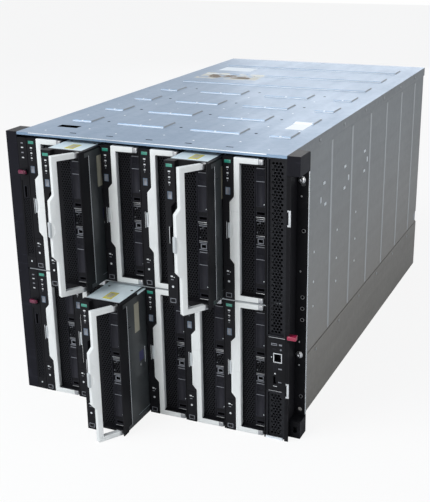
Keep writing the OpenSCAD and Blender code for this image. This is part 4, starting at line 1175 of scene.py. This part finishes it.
def build_stage():
    """Pale floor, soft light from above and the front, white surroundings and the camera."""
    clear_selection()
    bpy.ops.mesh.primitive_plane_add(size=14)
    floor = settle("floor")
    finish, tree, shader, place = start_finish("floor_paper")
    tone = spread(tree, noise(tree, place, 3.0), 0.3, 0.7, 0.96, 1.0)
    pale = blend_colours(tree, tone, (0.9, 0.9, 0.9), (0.94, 0.94, 0.94))
    tree.links.new(pale, shader.inputs["Base Color"])
    shader.inputs["Roughness"].default_value = 0.9
    glow = add_node(tree, "ShaderNodeEmission")
    glow.inputs["Color"].default_value = (1, 1, 1, 1)
    path = add_node(tree, "ShaderNodeLightPath")
    mix = add_node(tree, "ShaderNodeMixShader")
    seen = sums(tree, "MULTIPLY", path.outputs["Is Camera Ray"], 0.88)
    tree.links.new(seen, mix.inputs["Fac"])
    tree.links.new(shader.outputs["BSDF"], mix.inputs[1])
    tree.links.new(glow.outputs["Emission"], mix.inputs[2])
    tree.links.new(mix.outputs["Shader"], tree.nodes["Material Output"].inputs["Surface"])
    floor.data.materials.append(finish)

    scene = bpy.context.scene
    world = scene.world or bpy.data.worlds.new("surroundings")
    scene.world = world
    world.use_nodes = True
    tree = world.node_tree
    background = tree.nodes["Background"]
    background.inputs["Color"].default_value = (0.80, 0.88, 1.0, 1)
    background.inputs["Strength"].default_value = 0.30
    white = add_node(tree, "ShaderNodeBackground")
    white.inputs["Color"].default_value = (1, 1, 1, 1)
    path = add_node(tree, "ShaderNodeLightPath")
    mix = add_node(tree, "ShaderNodeMixShader")
    rays = sums(tree, "MAXIMUM", path.outputs["Is Camera Ray"], path.outputs["Is Transmission Ray"])
    rays = sums(tree, "MAXIMUM", rays, path.outputs["Is Glossy Ray"])
    tree.links.new(rays, mix.inputs["Fac"])
    tree.links.new(background.outputs["Background"], mix.inputs[1])
    tree.links.new(white.outputs["Background"], mix.inputs[2])
    tree.links.new(mix.outputs["Shader"], tree.nodes["World Output"].inputs["Surface"])

    for name, place, aim, size, power, colour in LIGHTS:
        lamp = bpy.data.lights.new(name, "AREA")
        lamp.size, lamp.energy, lamp.color = size, power, colour
        holder = bpy.data.objects.new(name, lamp)
        bpy.context.scene.collection.objects.link(holder)
        holder.location = place
        holder.rotation_euler = (Vector(aim) - Vector(place)).to_track_quat("-Z", "Y").to_euler()

    turn, tilt, roll = (math.radians(angle) for angle in CAMERA_ANGLES)
    ahead = Vector((-math.sin(turn) * math.cos(tilt), math.cos(turn) * math.cos(tilt), -math.sin(tilt)))
    right = Vector((math.cos(turn), math.sin(turn), 0))
    up = right.cross(ahead)
    right, up = (math.cos(roll) * right + math.sin(roll) * up, math.cos(roll) * up - math.sin(roll) * right)
    camera = bpy.data.objects.new("camera", bpy.data.cameras.new("camera"))
    bpy.context.scene.collection.objects.link(camera)
    camera.data.sensor_width = 36
    camera.data.lens = CAMERA_LENS
    camera.matrix_world = Matrix.Translation(CAMERA_PLACE) @ Matrix(
        (right, up, -ahead)).transposed().to_4x4()
    scene.camera = camera
    scene.view_settings.view_transform = "Standard"


# The add-on: settings, one operator for each group of pieces, and a panel


class ChassisColours(bpy.types.PropertyGroup):
    """Colours that a user would change."""

    cover: FloatVectorProperty(name="Cover", description="Zinc of the top cover", subtype="COLOR",
                               default=(0.225, 0.325, 0.46), min=0, max=1)
    panel: FloatVectorProperty(name="Side panels", description="Zinc of the side panels", subtype="COLOR",
                               default=(0.25, 0.265, 0.275), min=0, max=1)
    black: FloatVectorProperty(name="Black parts", description="Ears, bezels and front frames",
                               subtype="COLOR", default=(0.009, 0.009, 0.011), min=0, max=1)
    handle: FloatVectorProperty(name="Handles", description="Moulding of the ejector handles",
                                subtype="COLOR", default=(0.77, 0.79, 0.79), min=0, max=1)


class CHASSIS_OT_finishes(bpy.types.Operator):
    """Builds the finishes and puts them on the solids"""

    bl_idname = "chassis.finishes"
    bl_label = "Finishes and Solids"

    def execute(self, context):
        build_finishes(context.scene.chassis_colours)
        dress_solids()
        return {"FINISHED"}


class CHASSIS_OT_blades(bpy.types.Operator):
    """Models the vents, drives, marks, trim and handles of the server blades"""

    bl_idname = "chassis.blades"
    bl_label = "Server Blades"

    def execute(self, context):
        dress_blades()
        return {"FINISHED"}


class CHASSIS_OT_cover(bpy.types.Operator):
    """Models the dimples, holes, welds and painted highlight strips of the top cover"""

    bl_idname = "chassis.cover"
    bl_label = "Top Cover"

    def execute(self, context):
        dress_cover()
        return {"FINISHED"}


class CHASSIS_OT_sides(bpy.types.Operator):
    """Models the rivets, tabs and screws of the sides"""

    bl_idname = "chassis.sides"
    bl_label = "Side Panels"

    def execute(self, context):
        dress_sides()
        dress_screws()
        return {"FINISHED"}


class CHASSIS_OT_ears(bpy.types.Operator):
    """Models the small parts of the rack ears"""

    bl_idname = "chassis.ears"
    bl_label = "Rack Ears"

    def execute(self, context):
        dress_ears()
        return {"FINISHED"}


class CHASSIS_OT_port_panel(bpy.types.Operator):
    """Models the parts of the port panel and its release tab"""

    bl_idname = "chassis.port_panel"
    bl_label = "Port Panel"

    def execute(self, context):
        dress_port_panel()
        dress_latch()
        return {"FINISHED"}


class CHASSIS_OT_appliances(bpy.types.Operator):
    """Models the fronts and levers of the slim modules"""

    bl_idname = "chassis.appliances"
    bl_label = "Slim Modules"

    def execute(self, context):
        dress_appliances()
        return {"FINISHED"}


class CHASSIS_OT_rear(bpy.types.Operator):
    """Models the small parts of the rear modules"""

    bl_idname = "chassis.rear"
    bl_label = "Rear Modules"

    def execute(self, context):
        dress_supplies()
        dress_fans()
        dress_interconnects()
        return {"FINISHED"}


class CHASSIS_OT_stage(bpy.types.Operator):
    """Builds the floor, the lights and the camera"""

    bl_idname = "chassis.stage"
    bl_label = "Stage"

    def execute(self, context):
        build_stage()
        return {"FINISHED"}


OPERATORS = (
    CHASSIS_OT_finishes, CHASSIS_OT_blades, CHASSIS_OT_cover, CHASSIS_OT_sides, CHASSIS_OT_ears,
    CHASSIS_OT_port_panel, CHASSIS_OT_appliances, CHASSIS_OT_rear, CHASSIS_OT_stage,
)


class CHASSIS_PT_looks(bpy.types.Panel):
    """Lists the chassis operators and colours"""

    bl_label = "Chassis Looks"
    bl_space_type = "VIEW_3D"
    bl_region_type = "UI"
    bl_category = "Chassis"

    def draw(self, context):
        colours = context.scene.chassis_colours
        for name in ("cover", "panel", "black", "handle"):
            self.layout.prop(colours, name)
        for operator in OPERATORS:
            self.layout.operator(operator.bl_idname)


CLASSES = (ChassisColours, *OPERATORS, CHASSIS_PT_looks)


def register():
    for one in CLASSES:
        bpy.utils.register_class(one)
    bpy.types.Scene.chassis_colours = PointerProperty(type=ChassisColours)


def unregister():
    del bpy.types.Scene.chassis_colours
    for one in reversed(CLASSES):
        bpy.utils.unregister_class(one)


def main():
    """Registers the add-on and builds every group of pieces."""
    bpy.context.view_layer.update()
    register()
    bpy.ops.chassis.finishes()
    bpy.ops.chassis.blades()
    bpy.ops.chassis.cover()
    bpy.ops.chassis.sides()
    bpy.ops.chassis.ears()
    bpy.ops.chassis.port_panel()
    bpy.ops.chassis.appliances()
    bpy.ops.chassis.rear()
    bpy.ops.chassis.stage()


if __name__ == "__main__":
    main()
